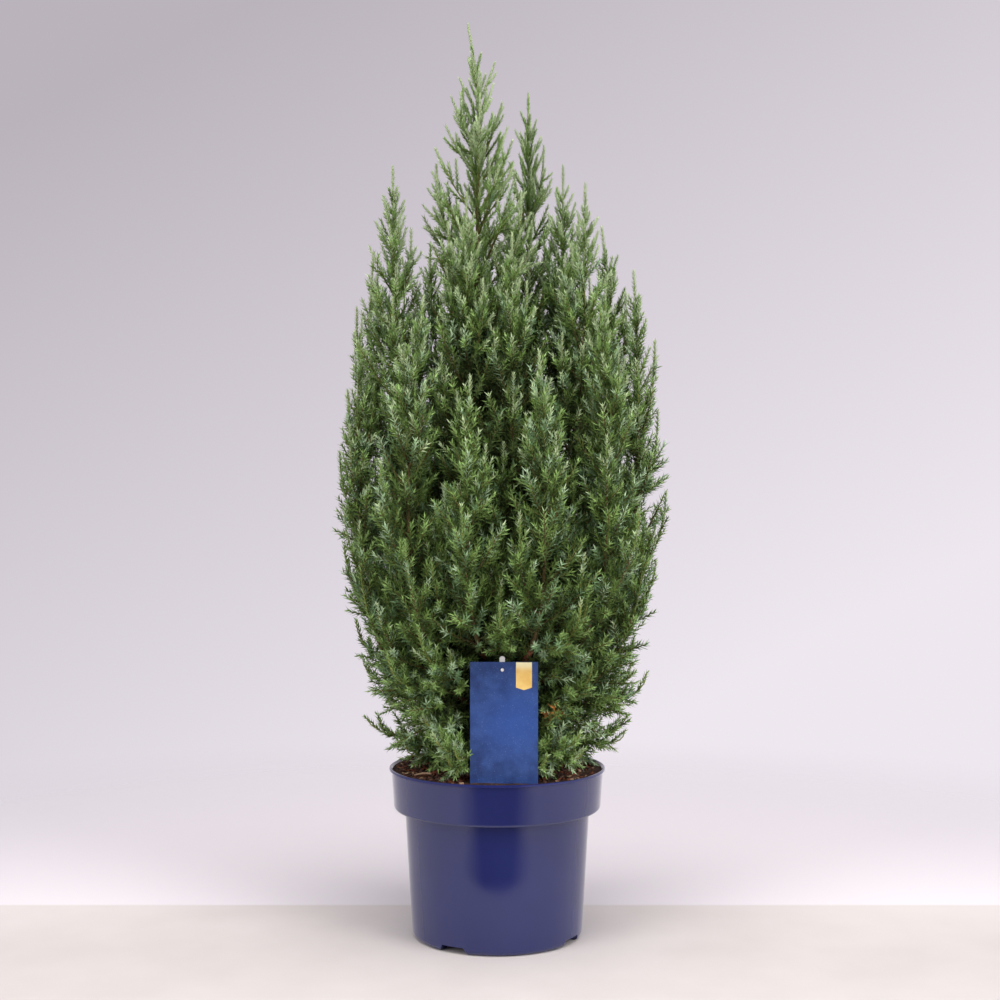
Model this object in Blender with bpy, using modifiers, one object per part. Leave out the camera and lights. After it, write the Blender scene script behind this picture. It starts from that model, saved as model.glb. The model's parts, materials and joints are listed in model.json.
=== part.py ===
"""Chinese juniper in its nursery pot, as separate solids.

Metres, +Z up. The origin is the middle of the pot's underside, which the plant stands on.
+X is to the right and +Y to the back, as the photograph looks at the plant.
"""
import math
import random
from dataclasses import dataclass, field

import bmesh
import bpy
import numpy as np
from mathutils import Matrix, Vector
from mathutils.bvhtree import BVHTree

# Driving dimensions of the pot
POT_HEIGHT = 0.175
LIP_RADIUS = 0.113
LIP_HEIGHT = 0.0025
LIP_OVERHANG = 0.0022
BAND_FOOT_Z = 0.1325
BAND_TOP_RADIUS = 0.1105
BAND_FOOT_RADIUS = 0.108
BAND_CORNER = 0.003
BODY_TOP_RADIUS = 0.0965
BASE_RADIUS = 0.089
BASE_CORNER = 0.006
WALL = 0.0018
FLOOR_Z = 0.008
FOOT_RING_WIDTH = 0.007
CENTRE_FOOT_RADIUS = 0.020
POT_STEPS = 36

# The drain notches in the foot ring, by the bearing of the first one's middle
NOTCH_COUNT = 4
NOTCH_BEARING = 59.5
NOTCH_FOOT_WIDTH = 0.0358
NOTCH_TOP_WIDTH = 0.025
NOTCH_HEIGHT = 0.0072

# Soil, and the gap that touching pieces keep
SOIL_Z = 0.166
SOIL_LEVEL_RADIUS = 0.030
SOIL_RINGS = (0.055, 0.078, 0.097)
SOIL_EDGE_DROP = 0.001
SOIL_BUMP = 0.0016
SOIL_STEPS = 20
GAP = 0.0003

# The label: a card on a stake that is pushed into the soil
CARD_X = 0.0068
CARD_Y = -0.0925
CARD_WIDTH = 0.0673
CARD_TOP_Z = 0.2937
CARD_FOOT_Z = 0.1675
CARD_THICKNESS = 0.0009
PEG_X = 0.0050
PEG_Z = 0.2858
PEG_RADIUS = 0.0016
PEG_HOLE_RADIUS = PEG_RADIUS + GAP
STAKE_WIDTH = 0.009
STAKE_THICKNESS = 0.0016
STAKE_TIP_Z = 0.2985
STAKE_POINT = 0.009
STAKE_DEPTH = 0.045
LABEL_ROOM = 0.010

# The trunk, from its flat cut at the soil to the fork under the leader
TRUNK_FOOT_Z = SOIL_Z + GAP
TRUNK_FORK_Z = 0.600
TRUNK_RADIUS = 0.0095
TRUNK_FORK_RADIUS = 0.0042
FLARE = 0.0045
FLARE_LENGTH = 0.011
FLARE_RINGS = (0, 0.5, 1.2, 2.4)
STRAIGHT_FOOT_Z = 0.215
TRUNK_RINGS = 9
LEADER_X = -0.0305
TOP_Z = 0.9516
LEAN_POWER = 1.3
SWAY_X = 0.004
SWAY_Y = 0.003

# Foliage: an envelope that widens below each tip, and the sprays that fill it
GOLDEN_ANGLE = math.radians(137.508)
ENVELOPE_DEPTH = 0.25
TIP_SHARE = 0.002
LEAST_WIDTH = 0.010
SHADE_TOP = 0.60
INNER_SHADE_TOP = 0.56
CROWN_RADIUS = 0.183
CELL_MARGIN = 0.0022
LIMB_MARGIN = 0.0012
LIMB_SAMPLES = 60
STEM_RADIUS = 0.0026
BOUGH_FOOT = 1.25
BOUGH_TIP = 0.75
TIP_RADIUS = 0.0011
CORE_SHARE = 0.42
CORE_START = 0.6
CORE_SWELL = 0.4
SPRAY_THICKNESS = 0.14
SPRAY_MIDDLE = 0.42
SPRAY_REACH = 0.078
SPRAY_FULLNESS = (0.92, 1.10)
SPRAY_TURN = 0.3
SPRAY_CUTS = (1.0, 0.88, 0.76, 0.64, 0.52)
# Half a spray's toothed outline as (along, across) shares of its length, from tip to root
SPRAY_OUTLINES = {
    "broad": ((1.0, 0.0), (0.80, 0.15), (0.57, 0.10), (0.50, 0.20), (0.0, 0.0)),
    "slim": ((1.0, 0.0), (0.69, 0.07), (0.60, 0.18), (0.0, 0.0)),
}
SPRAY_TEST_RUNS = (0.45, 0.6, 0.72, 0.85, 1.0)
SPRAY_TEST_HALF = 0.19
CORE_SPACING = 0.065
CORE_CUT = 0.88
FIRST_SPRAY = 0.05
LAST_SPRAY = 0.96
LEAN_LOW = 44
LEAN_TOP = 20
JOINT_RUN = 0.004
AXIS_POINTS = 41
LIMBS_IN_TURN = 4


@dataclass(frozen=True)
class Habit:
    """How one kind of mass grows: where its limb leaves the trunk and how it swings up."""

    attach: float
    attach_step: float
    enter: float
    bough: float
    width: float
    power: float
    least_swing: float
    near: tuple
    far: tuple
    spacing: float


# Heights are metres; near and far are the axis's handles, as shares of its reach and its rise
HABITS = {
    "leader": Habit(TRUNK_FORK_Z + GAP, 0, 0, 0, 0.070, 0.95, 0, (0, 0), (0, 0), 0.012),
    "inner": Habit(0.314, 0.014, 0.388, 0.0036, 0.056, 0.78, 0, (0.75, 0.06), (1.00, 0.22), 0.019),
    "outer": Habit(0.234, 0.016, 0.299, 0.0042, 0.047, 0.72, 0.147, (0.80, 0.05), (1.12, 0.22), 0.0225),
    "skirt": Habit(0.213, 0, 0, 0, 0.056, 0.72, 0, (0.50, 0.10), (1.04, 0.30), 0.019),
    "low": Habit(0.190, 0, 0, 0, 0.052, 0.72, 0, (0.50, 0.15), (0.95, 0.40), 0.0165),
}


@dataclass
class Plume:
    """One mass of foliage: its axis from the trunk to its tip, and its width."""

    name: str
    kind: str
    bearing: float
    reach: float
    top: float
    attach: float
    axis: np.ndarray = field(default=None, repr=False)
    radius: np.ndarray = field(default=None, repr=False)
    seat: float = 0.0

    @property
    def habit(self):
        return HABITS[self.kind]

    @property
    def from_trunk(self):
        """True for a mass whose own stem comes from the trunk, with no bough under it."""
        return self.habit.enter == 0


# Plumes whose tips show, by bearing in degrees (0 right, 90 back), reach and height of the tip
INNER = (
    (339, 0.097, 0.777),
    (284, 0.062, 0.722),
    (238, 0.059, 0.765),
    (190, 0.110, 0.799),
    (136, 0.102, 0.735),
    (100, 0.080, 0.785),
    (61, 0.070, 0.897),
    (20, 0.075, 0.809),
)
OUTER = (
    (352, 0.143, 0.690),
    (322, 0.130, 0.650),
    (290, 0.120, 0.598),
    (258, 0.126, 0.572),
    (229, 0.112, 0.655),
    (193, 0.143, 0.640),
    (168, 0.135, 0.718),
    (138, 0.139, 0.680),
    (107, 0.134, 0.640),
    (75, 0.132, 0.670),
    (42, 0.138, 0.700),
    (15, 0.116, 0.745),
)

# The skirt grows in the gaps between the outer boughs: an upper and a low mass in turn
SKIRT_REACH = 0.160
SKIRT_TOP = 0.430
LOW_REACH = 0.146
LOW_TOP = 0.230


def clear_scene():
    """Remove every object of the open scene."""
    for obj in list(bpy.data.objects):
        bpy.data.objects.remove(obj, do_unlink=True)


def new_collection(name):
    collection = bpy.data.collections.new(name)
    bpy.context.scene.collection.children.link(collection)
    return collection


def new_material(name, colour, roughness):
    """A Principled material; the colour is linear RGB."""
    mat = bpy.data.materials.new(name)
    mat.use_nodes = True
    shader = mat.node_tree.nodes["Principled BSDF"]
    shader.inputs["Base Color"].default_value = (*colour, 1.0)
    shader.inputs["Roughness"].default_value = roughness
    shader.inputs["Metallic"].default_value = 0.0
    return mat


def add_object(name, mesh, collection, mat=None):
    obj = bpy.data.objects.new(name, mesh)
    collection.objects.link(obj)
    if mat:
        mesh.materials.append(mat)
    return obj


def hide_cutter(obj):
    obj.hide_render = True
    obj.display_type = "WIRE"


def shade_round(obj, degrees=35):
    obj.data.shade_smooth()
    obj.data.set_sharp_from_angle(angle=math.radians(degrees))


def polar(radius, bearing, z):
    """A point by its distance from the pot's axis, its bearing in degrees and its height."""
    turn = math.radians(bearing)
    return np.array((radius * math.cos(turn), radius * math.sin(turn), z))


def turned_mesh(name, profile):
    """A mesh that holds a profile of (radius, height) points, for the Screw modifier."""
    mesh = bpy.data.meshes.new(name)
    edges = [(i, i + 1) for i in range(len(profile) - 1)]
    mesh.from_pydata([(r, 0.0, z) for r, z in profile], edges, [])
    return mesh


def add_screw(obj, steps):
    screw = obj.modifiers.new("Turn", "SCREW")
    screw.steps = steps
    screw.render_steps = steps
    screw.use_merge_vertices = True
    screw.merge_threshold = 0.00001
    return screw


def add_boolean(obj, operation, collection):
    cut = obj.modifiers.new("Boolean", "BOOLEAN")
    cut.operation = operation
    cut.solver = "EXACT"
    cut.operand_type = "COLLECTION"
    cut.collection = collection
    return cut


def apply_modifiers(obj):
    """Replace an object's mesh by its evaluated one."""
    depsgraph = bpy.context.evaluated_depsgraph_get()
    mesh = bpy.data.meshes.new_from_object(obj.evaluated_get(depsgraph))
    obj.modifiers.clear()
    obj.data = mesh


def corner(centre_r, centre_z, size, start, end, count):
    """Points of a round corner, from one angle in degrees to another."""
    angles = [math.radians(start + (end - start) * i / (count - 1)) for i in range(count)]
    return [(centre_r + size * math.cos(a), centre_z + size * math.sin(a)) for a in angles]


def pot_profile():
    """The pot's section: the inside from its floor up, over the lip, and down the outside."""
    step_z = BAND_FOOT_Z + WALL
    lip_foot = POT_HEIGHT - LIP_HEIGHT
    inside = [
        (0.0, FLOOR_Z + WALL),
        (BASE_RADIUS - WALL - BASE_CORNER / 2, FLOOR_Z + WALL),
        (BASE_RADIUS - WALL, FLOOR_Z + WALL + BASE_CORNER / 2),
        (BODY_TOP_RADIUS - WALL, step_z),
        (BAND_FOOT_RADIUS - WALL, step_z + WALL / 2),
        (BAND_TOP_RADIUS - WALL, lip_foot),
        (LIP_RADIUS - LIP_OVERHANG, POT_HEIGHT),
    ]
    lip = [(LIP_RADIUS - LIP_HEIGHT / 4, POT_HEIGHT), (LIP_RADIUS, lip_foot)]
    band = [(BAND_TOP_RADIUS, lip_foot - LIP_HEIGHT / 4)]
    band += corner(BAND_FOOT_RADIUS - BAND_CORNER, BAND_FOOT_Z + BAND_CORNER, BAND_CORNER, 0, -90, 2)
    body = [(BODY_TOP_RADIUS, BAND_FOOT_Z)]
    body += corner(BASE_RADIUS - BASE_CORNER, BASE_CORNER, BASE_CORNER, 0, -90, 3)
    ring_inner = BASE_RADIUS - BASE_CORNER - FOOT_RING_WIDTH
    foot = [
        (ring_inner, 0.0),
        (ring_inner, FLOOR_Z),
        (CENTRE_FOOT_RADIUS + WALL, FLOOR_Z),
        (CENTRE_FOOT_RADIUS, 0.0),
        (0.0, 0.0),
    ]
    return inside + lip + band + body + foot


def notch_cutter(bearing, collection):
    """A wedge through the foot ring, narrower at its top."""
    bpy.ops.mesh.primitive_cube_add(size=1.0)
    cutter = bpy.context.object
    cutter.name = f"notch_cutter_{round(bearing)}"
    inner = BASE_RADIUS - BASE_CORNER - 2 * FOOT_RING_WIDTH
    outer = BASE_RADIUS + FOOT_RING_WIDTH
    for vertex in cutter.data.vertices:
        at_top = vertex.co.z > 0
        width = NOTCH_TOP_WIDTH if at_top else NOTCH_FOOT_WIDTH
        vertex.co = (
            outer if vertex.co.x > 0 else inner,
            math.copysign(width / 2, vertex.co.y),
            NOTCH_HEIGHT if at_top else -NOTCH_HEIGHT / 2,
        )
    cutter.rotation_euler.z = math.radians(bearing)
    bpy.context.collection.objects.unlink(cutter)
    collection.objects.link(cutter)
    hide_cutter(cutter)


def build_pot(parts, mat):
    pot = add_object("pot", turned_mesh("pot", pot_profile()), parts, mat)
    add_screw(pot, POT_STEPS)
    cutters = new_collection("pot_cutters")
    for i in range(NOTCH_COUNT):
        notch_cutter(NOTCH_BEARING + i * 360 / NOTCH_COUNT, cutters)
    add_boolean(pot, "DIFFERENCE", cutters)
    bpy.context.view_layer.update()
    apply_modifiers(pot)
    shade_round(pot)


def soil_profile():
    """The plug of soil: its top from the axis outwards, then down inside the pot's wall."""
    edge = BAND_TOP_RADIUS - WALL - 5 * GAP
    step_z = BAND_FOOT_Z + WALL * 1.5 + GAP
    return [
        (0.0, SOIL_Z),
        (SOIL_LEVEL_RADIUS, SOIL_Z),
        *((radius, SOIL_Z) for radius in SOIL_RINGS),
        (edge, SOIL_Z - SOIL_EDGE_DROP),
        (BAND_FOOT_RADIUS - WALL - 3 * GAP, step_z + GAP),
        (BODY_TOP_RADIUS - WALL - 2 * GAP, step_z),
        (BASE_RADIUS - WALL - 2 * GAP, FLOOR_Z + WALL + BASE_CORNER / 2),
        (BASE_RADIUS - WALL - BASE_CORNER / 2 - 2 * GAP, FLOOR_Z + WALL + GAP),
        (0.0, FLOOR_Z + WALL + GAP),
    ]


def build_soil(parts, mat):
    """Soil with a gently uneven top, and a slot for the stake."""
    soil = add_object("soil", turned_mesh("soil", soil_profile()), parts, mat)
    add_screw(soil, SOIL_STEPS)
    bpy.context.view_layer.update()
    apply_modifiers(soil)
    rng = random.Random(5)
    for vertex in soil.data.vertices:
        radius = math.hypot(vertex.co.x, vertex.co.y)
        if abs(vertex.co.z - SOIL_Z) < GAP and radius > SOIL_LEVEL_RADIUS * 1.1:
            vertex.co.z += rng.uniform(-SOIL_BUMP, SOIL_BUMP)
    cutters = new_collection("soil_cutters")
    bpy.ops.mesh.primitive_cube_add(size=1.0)
    slot = bpy.context.object
    slot.name = "stake_slot"
    slot.scale = (STAKE_WIDTH + 2 * GAP, STAKE_THICKNESS + 2 * GAP, 2 * (STAKE_DEPTH + GAP))
    slot.location = (PEG_X, stake_y(), SOIL_Z)
    bpy.context.collection.objects.unlink(slot)
    cutters.objects.link(slot)
    hide_cutter(slot)
    add_boolean(soil, "DIFFERENCE", cutters)
    bpy.context.view_layer.update()
    apply_modifiers(soil)


def stake_y():
    return CARD_Y + CARD_THICKNESS / 2 + GAP + STAKE_THICKNESS / 2


def flat_plate(name, outline, thickness):
    """An upright plate from an outline of (x, z) points, as a filled 2D curve."""
    curve = bpy.data.curves.new(name, "CURVE")
    curve.dimensions = "2D"
    curve.fill_mode = "BOTH"
    curve.extrude = thickness / 2
    for ring in outline:
        spline = curve.splines.new("POLY")
        spline.points.add(len(ring) - 1)
        for point, (x, z) in zip(spline.points, ring):
            point.co = (x, z, 0.0, 1.0)
        spline.use_cyclic_u = True
    plate = bpy.data.objects.new(name, curve)
    plate.rotation_euler.x = math.pi / 2
    return plate


def made_mesh(obj, collection, mat):
    """Turn a curve object into a welded mesh object of the same name and place."""
    name = obj.name
    bpy.context.scene.collection.objects.link(obj)
    bpy.context.view_layer.update()
    depsgraph = bpy.context.evaluated_depsgraph_get()
    mesh = bpy.data.meshes.new_from_object(obj.evaluated_get(depsgraph))
    place = obj.matrix_world.copy()
    bpy.data.objects.remove(obj, do_unlink=True)
    work = bmesh.new()
    work.from_mesh(mesh)
    bmesh.ops.remove_doubles(work, verts=work.verts, dist=0.000002)
    work.to_mesh(mesh)
    work.free()
    mesh.materials.clear()
    result = add_object(name, mesh, collection, mat)
    result.matrix_world = place
    return result


def ring_points(x, z, radius, count):
    steps = [2 * math.pi * i / count for i in range(count)]
    return [(x + radius * math.cos(a), z + radius * math.sin(a)) for a in steps]


def build_label(parts, card_mat, stake_mat):
    """The bare card, and the stake behind it whose peg passes through the card."""
    left = CARD_X - CARD_WIDTH / 2
    right = CARD_X + CARD_WIDTH / 2
    card_edge = [(left, CARD_FOOT_Z), (right, CARD_FOOT_Z), (right, CARD_TOP_Z), (left, CARD_TOP_Z)]
    hole = ring_points(PEG_X, PEG_Z, PEG_HOLE_RADIUS, 10)
    card = flat_plate("label_card", [card_edge, hole], CARD_THICKNESS)
    card.location.y = CARD_Y
    made_mesh(card, parts, card_mat)
    half = STAKE_WIDTH / 2
    foot = SOIL_Z - STAKE_DEPTH
    stake_edge = [
        (PEG_X - half / 2, foot),
        (PEG_X + half / 2, foot),
        (PEG_X + half, foot + STAKE_POINT),
        (PEG_X + half, STAKE_TIP_Z - STAKE_POINT),
        (PEG_X, STAKE_TIP_Z),
        (PEG_X - half, STAKE_TIP_Z - STAKE_POINT),
        (PEG_X - half, foot + STAKE_POINT),
    ]
    plate = flat_plate("label_stake", [stake_edge], STAKE_THICKNESS)
    plate.location.y = stake_y()
    stake = made_mesh(plate, parts, stake_mat)
    length = CARD_THICKNESS * 2 + STAKE_THICKNESS
    pegs = new_collection("stake_pegs")
    bpy.ops.mesh.primitive_cylinder_add(vertices=10, radius=PEG_RADIUS, depth=length)
    peg = bpy.context.object
    peg.rotation_euler.x = math.pi / 2
    peg.location = (PEG_X, stake_y() - length / 2, PEG_Z)
    bpy.context.collection.objects.unlink(peg)
    pegs.objects.link(peg)
    add_boolean(stake, "UNION", pegs)
    bpy.context.view_layer.update()
    apply_modifiers(stake)
    bpy.data.objects.remove(peg, do_unlink=True)


def limb_curve(name, points, radii, resolution):
    """A tapering limb along points, as a curve with a bevel and filled caps."""
    curve = bpy.data.curves.new(name, "CURVE")
    curve.dimensions = "3D"
    curve.bevel_depth = 1.0
    curve.bevel_resolution = resolution
    curve.use_fill_caps = True
    spline = curve.splines.new("POLY")
    spline.points.add(len(points) - 1)
    for point, place, radius in zip(spline.points, points, radii):
        point.co = (*place, 1.0)
        point.radius = radius
    return bpy.data.objects.new(name, curve)


def trunk_centre(z):
    """The trunk's middle at a height: a slight lean to the left with one soft bend."""
    share = (z - SOIL_Z) / (TOP_Z - SOIL_Z)
    x = LEADER_X * share ** LEAN_POWER + SWAY_X * math.sin(math.pi * 2 * share)
    y = SWAY_Y * math.sin(math.pi * 1.5 * share)
    return np.array((x, y, z))


def trunk_radius(z):
    share = (z - SOIL_Z) / (TRUNK_FORK_Z - SOIL_Z)
    taper = TRUNK_RADIUS + (TRUNK_FORK_RADIUS - TRUNK_RADIUS) * share
    return taper + FLARE * math.exp(-(z - SOIL_Z) / FLARE_LENGTH)


def build_trunk(parts, mat):
    low = [TRUNK_FOOT_Z + FLARE_LENGTH * k for k in FLARE_RINGS]
    high = np.linspace(STRAIGHT_FOOT_Z, TRUNK_FORK_Z, TRUNK_RINGS)
    heights = [*low, *high]
    points = [trunk_centre(z) for z in heights]
    points[1][:2] = points[0][:2]
    radii = [trunk_radius(z) for z in heights]
    trunk = made_mesh(limb_curve("trunk", points, radii, 3), parts, mat)
    shade_round(trunk, 60)
    return trunk


def bezier(controls, count):
    """Points along a cubic curve, evenly spaced along its length."""
    t = np.linspace(0.0, 1.0, 200)[:, None]
    a, b, c, d = controls
    dense = (1 - t) ** 3 * a + 3 * t * (1 - t) ** 2 * b + 3 * t * t * (1 - t) * c + t ** 3 * d
    run = np.concatenate(([0.0], np.cumsum(np.linalg.norm(np.diff(dense, axis=0), axis=1))))
    even = np.linspace(0.0, run[-1], count)
    return np.stack([np.interp(even, run, dense[:, k]) for k in range(3)], axis=1)


def run_length(points):
    return np.concatenate(([0.0], np.cumsum(np.linalg.norm(np.diff(points, axis=0), axis=1))))


def plume_axis(plume):
    """The whole axis, from the trunk's middle to the plume's tip."""
    start = trunk_centre(plume.attach)
    if plume.kind == "leader":
        heights = np.linspace(plume.attach, TOP_Z, AXIS_POINTS)
        return np.stack([trunk_centre(z) for z in heights])
    habit = plume.habit
    tip = polar(plume.reach, plume.bearing, plume.top)
    rise = plume.top - plume.attach
    swing = max(plume.reach, habit.least_swing)
    near = polar(swing * habit.near[0], plume.bearing, plume.attach + rise * habit.near[1])
    far = polar(swing * habit.far[0], plume.bearing, plume.attach + rise * habit.far[1])
    return bezier((start, near, far, tip), AXIS_POINTS)


def plume_radius(plume):
    """Half the foliage's width at each point of the axis."""
    run = run_length(plume.axis)
    below = (run[-1] - run) / ENVELOPE_DEPTH
    return plume.habit.width * np.clip(below, TIP_SHARE, 1.0) ** plume.habit.power


def room_behind_label(bearing):
    """How far a low limb may reach: to just behind the card where it would meet it."""
    heading = polar(1.0, bearing, 0)
    if heading[1] >= 0:
        return LIP_RADIUS * 2
    away = (stake_y() + LABEL_ROOM) / heading[1]
    in_the_way = abs(away * heading[0] - CARD_X) < CARD_WIDTH / 2 + LABEL_ROOM
    return away if in_the_way else LIP_RADIUS * 2


def attach_height(kind, i):
    habit = HABITS[kind]
    return habit.attach + habit.attach_step * (i % LIMBS_IN_TURN)


def all_plumes():
    """Every mass, with the ones that show placed by hand and the rest by rule."""
    plumes = [Plume("leader_foliage", "leader", 0, 0, TOP_Z, attach_height("leader", 0))]
    for kind, places in (("inner", INNER), ("outer", OUTER)):
        for i, (bearing, reach, top) in enumerate(places):
            name = f"{kind}_foliage_{i + 1}"
            plumes.append(Plume(name, kind, bearing, reach, top, attach_height(kind, i)))
    for i in range(len(OUTER)):
        before, after = OUTER[i][0], OUTER[(i + 1) % len(OUTER)][0]
        bearing = before - (before - after) % 360 / 2
        kind = "skirt" if i % 2 == 0 else "low"
        reach, top = (SKIRT_REACH, SKIRT_TOP) if kind == "skirt" else (LOW_REACH, LOW_TOP)
        reach = min(reach, room_behind_label(bearing))
        name = f"{kind}_foliage_{i // 2 + 1}"
        plumes.append(Plume(name, kind, bearing, reach, top, attach_height(kind, i)))
    for plume in plumes:
        plume.axis = plume_axis(plume)
        plume.radius = plume_radius(plume)
    return plumes


def entry_index(plume):
    """The axis point where the bough ends and the foliage begins."""
    if plume.from_trunk:
        return 0
    return int(np.argmax(plume.axis[:, 2] >= plume.habit.enter))


class Cells:
    """The space that each mass keeps to, clear of the other masses and of every limb."""

    def __init__(self, plumes):
        self.plumes = plumes
        heights = np.linspace(SOIL_Z, TRUNK_FORK_Z, LIMB_SAMPLES)
        limbs = [(trunk_centre(z), trunk_radius(z)) for z in heights]
        for plume in plumes:
            entry = entry_index(plume)
            if not plume.from_trunk:
                fine = bezier_refine(plume.axis[: entry + 1], LIMB_SAMPLES)
                limbs += [(point, plume.habit.bough) for point in fine]
        self.limb_points = np.array([point for point, _ in limbs])
        self.limb_radii = np.array([radius for _, radius in limbs])

    def ranks(self, points):
        """For each mass, the distance to its axis as a share of its width there."""
        result = []
        for plume in self.plumes:
            entry = entry_index(plume)
            axis = plume.axis[entry:]
            width = np.maximum(plume.radius[entry:], LEAST_WIDTH)
            away = np.linalg.norm(points[:, None, :] - axis[None], axis=2) / width[None]
            best = np.argmin(away, axis=1)
            result.append((away[np.arange(len(points)), best], width[best]))
        return result

    def clear(self, index, points):
        """True where a point lies in the cell of the mass, with the margins kept."""
        ranks = self.ranks(points)
        own, width = ranks[index]
        inside = np.ones(len(points), dtype=bool)
        for other, (rank, other_width) in enumerate(ranks):
            if other != index:
                inside &= (rank - own) * (width + other_width) / 2 > CELL_MARGIN
        inside &= self.limb_distance(points) > LIMB_MARGIN
        return inside & clear_of_pot(points)

    def limb_distance(self, points):
        away = np.linalg.norm(points[:, None, :] - self.limb_points[None], axis=2)
        return (away - self.limb_radii[None]).min(axis=1)


def clear_of_pot(points):
    """True where a point is in the crown, above the soil, off the pot's rim and off the label."""
    radius = np.hypot(points[:, 0], points[:, 1])
    above_soil = points[:, 2] > SOIL_Z + 3 * SOIL_BUMP
    off_rim = (points[:, 2] > POT_HEIGHT + 2 * CELL_MARGIN) | (radius < BAND_TOP_RADIUS - 4 * WALL)
    beside = np.abs(points[:, 0] - CARD_X) > CARD_WIDTH / 2 + CELL_MARGIN
    over = points[:, 2] > STAKE_TIP_Z + CELL_MARGIN
    behind = points[:, 1] > stake_y() + STAKE_THICKNESS + CELL_MARGIN
    return above_soil & off_rim & (beside | over | behind) & (radius < CROWN_RADIUS)


def bezier_refine(points, count):
    run = run_length(points)
    even = np.linspace(0.0, run[-1], count)
    return np.stack([np.interp(even, run, points[:, k]) for k in range(3)], axis=1)


def axis_at(plume, places):
    """Points of the axis at the given distances along it."""
    run = run_length(plume.axis)
    return np.stack([np.interp(places, run, plume.axis[:, k]) for k in range(3)], axis=-1)


def ring_across(plume, place, radius):
    """Twelve points round the axis, square to it."""
    centre = axis_at(plume, place)
    along = axis_at(plume, place + JOINT_RUN) - centre
    along /= np.linalg.norm(along)
    side = np.cross(along, (0.0, 0.0, 1.0))
    side /= np.linalg.norm(side)
    turns = (np.arange(12) * math.pi / 6)[:, None]
    return centre + radius * (np.cos(turns) * side + np.sin(turns) * np.cross(along, side))


def gap_to_trunk(points, trunk_tree):
    """The least distance from points to the trunk's surface, negative inside it."""
    gaps = []
    for point in points:
        nearest, normal, _, away = trunk_tree.find_nearest(Vector(point))
        gaps.append(math.copysign(away, (Vector(point) - nearest).dot(normal)))
    return min(gaps)


def seat_on_trunk(plume, trunk_tree):
    """Move along the axis until the limb's end clears the trunk's side by the usual gap."""
    radius = STEM_RADIUS if plume.from_trunk else plume.habit.bough * BOUGH_FOOT
    place = trunk_radius(plume.attach) / 2
    while gap_to_trunk(ring_across(plume, place, radius), trunk_tree) < GAP:
        place += GAP / 3
    return place


def entry_place(plume):
    """Where the bough meets its foliage: the middle of a straight piece of the axis."""
    run = run_length(plume.axis)
    entry = entry_index(plume)
    return (run[entry] + run[entry + 1]) / 2


def build_bough(plume, number, parts, mat):
    end = entry_place(plume)
    even = np.linspace(plume.seat + JOINT_RUN, end - GAP - JOINT_RUN, 4)
    places = np.array((plume.seat, *even, end - GAP))
    radii = plume.habit.bough * np.interp(places, (plume.seat, end), (BOUGH_FOOT, BOUGH_TIP))
    bough = made_mesh(limb_curve(f"bough_{number}", axis_at(plume, places), radii, 1), parts, mat)
    shade_round(bough, 70)


def mass_start(plume):
    """Where the mass's stem starts: 0.3 mm from its bough's tip, or from the trunk."""
    if plume.kind == "leader":
        return 0.0
    return plume.seat if plume.from_trunk else entry_place(plume)


def core_radii(plume, index, cells, places):
    """The core's radius along the mass: a share of the width, cut back to the cell."""
    width = np.interp(places, run_length(plume.axis), plume.radius)
    first = STEM_RADIUS if plume.from_trunk else plume.habit.bough * BOUGH_TIP
    if plume.kind == "leader":
        first = TRUNK_FORK_RADIUS
    radii = [first, first]
    for i, (point, half) in enumerate(zip(axis_at(plume, places[2:]), width[2:])):
        radius = max(TIP_RADIUS, half * CORE_SHARE * min(1.0, CORE_START + CORE_SWELL * i))
        while radius > STEM_RADIUS and not cells.clear(index, ring_around(point, radius)).all():
            radius *= CORE_CUT
        radii.append(radius)
    radii[-1] = TIP_RADIUS
    return radii


def ring_around(point, radius):
    """Eight points round a place, for testing the room about it."""
    turns = np.arange(8) * math.pi / 4
    ring = np.stack([np.cos(turns), np.sin(turns), np.zeros(8)], axis=1) * radius
    return point + ring


def spray_mesh(shape):
    """A unit spray: a two-sided cone squashed into a blade with a toothed outline."""
    side = SPRAY_OUTLINES[shape]
    outline = [*side, *((along, -across) for along, across in reversed(side[1:-1]))]
    work = bmesh.new()
    bmesh.ops.create_uvsphere(work, u_segments=len(outline), v_segments=2, radius=1.0)
    rim = [v for v in work.verts if abs(v.co.z) < 0.5]
    rim.sort(key=lambda v: math.atan2(v.co.y, v.co.x) % (2 * math.pi))
    for vertex, (along, across) in zip(rim, outline):
        vertex.co = (along, across, 0.0)
    for vertex in work.verts:
        if abs(vertex.co.z) > 0.5:
            vertex.co = (SPRAY_MIDDLE, 0.0, math.copysign(0.5, vertex.co.z))
    bmesh.ops.recalc_face_normals(work, faces=work.faces)
    mesh = bpy.data.meshes.new(f"spray_{shape}")
    work.to_mesh(mesh)
    work.free()
    return mesh


def side_direction(plume, place, turn, lean):
    """A shoot's direction: off the axis by lean, turned about it."""
    ahead = axis_at(plume, place + JOINT_RUN) - axis_at(plume, place - JOINT_RUN)
    along = ahead / np.linalg.norm(ahead)
    side = np.cross(along, (0.31, 0.95, 0.07))
    side /= np.linalg.norm(side)
    other = np.cross(along, side)
    outward = side * math.cos(turn) + other * math.sin(turn)
    return along * math.cos(lean) + outward * math.sin(lean)


def spray_samples(root, direction, across, length):
    """Places on a spray that must stay in its mass's cell."""
    along = np.array(SPRAY_TEST_RUNS)[:, None] * length
    middle = root + along * direction
    half = across * length * SPRAY_TEST_HALF
    return np.concatenate([middle, middle[:4] + half, middle[:4] - half])


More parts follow.
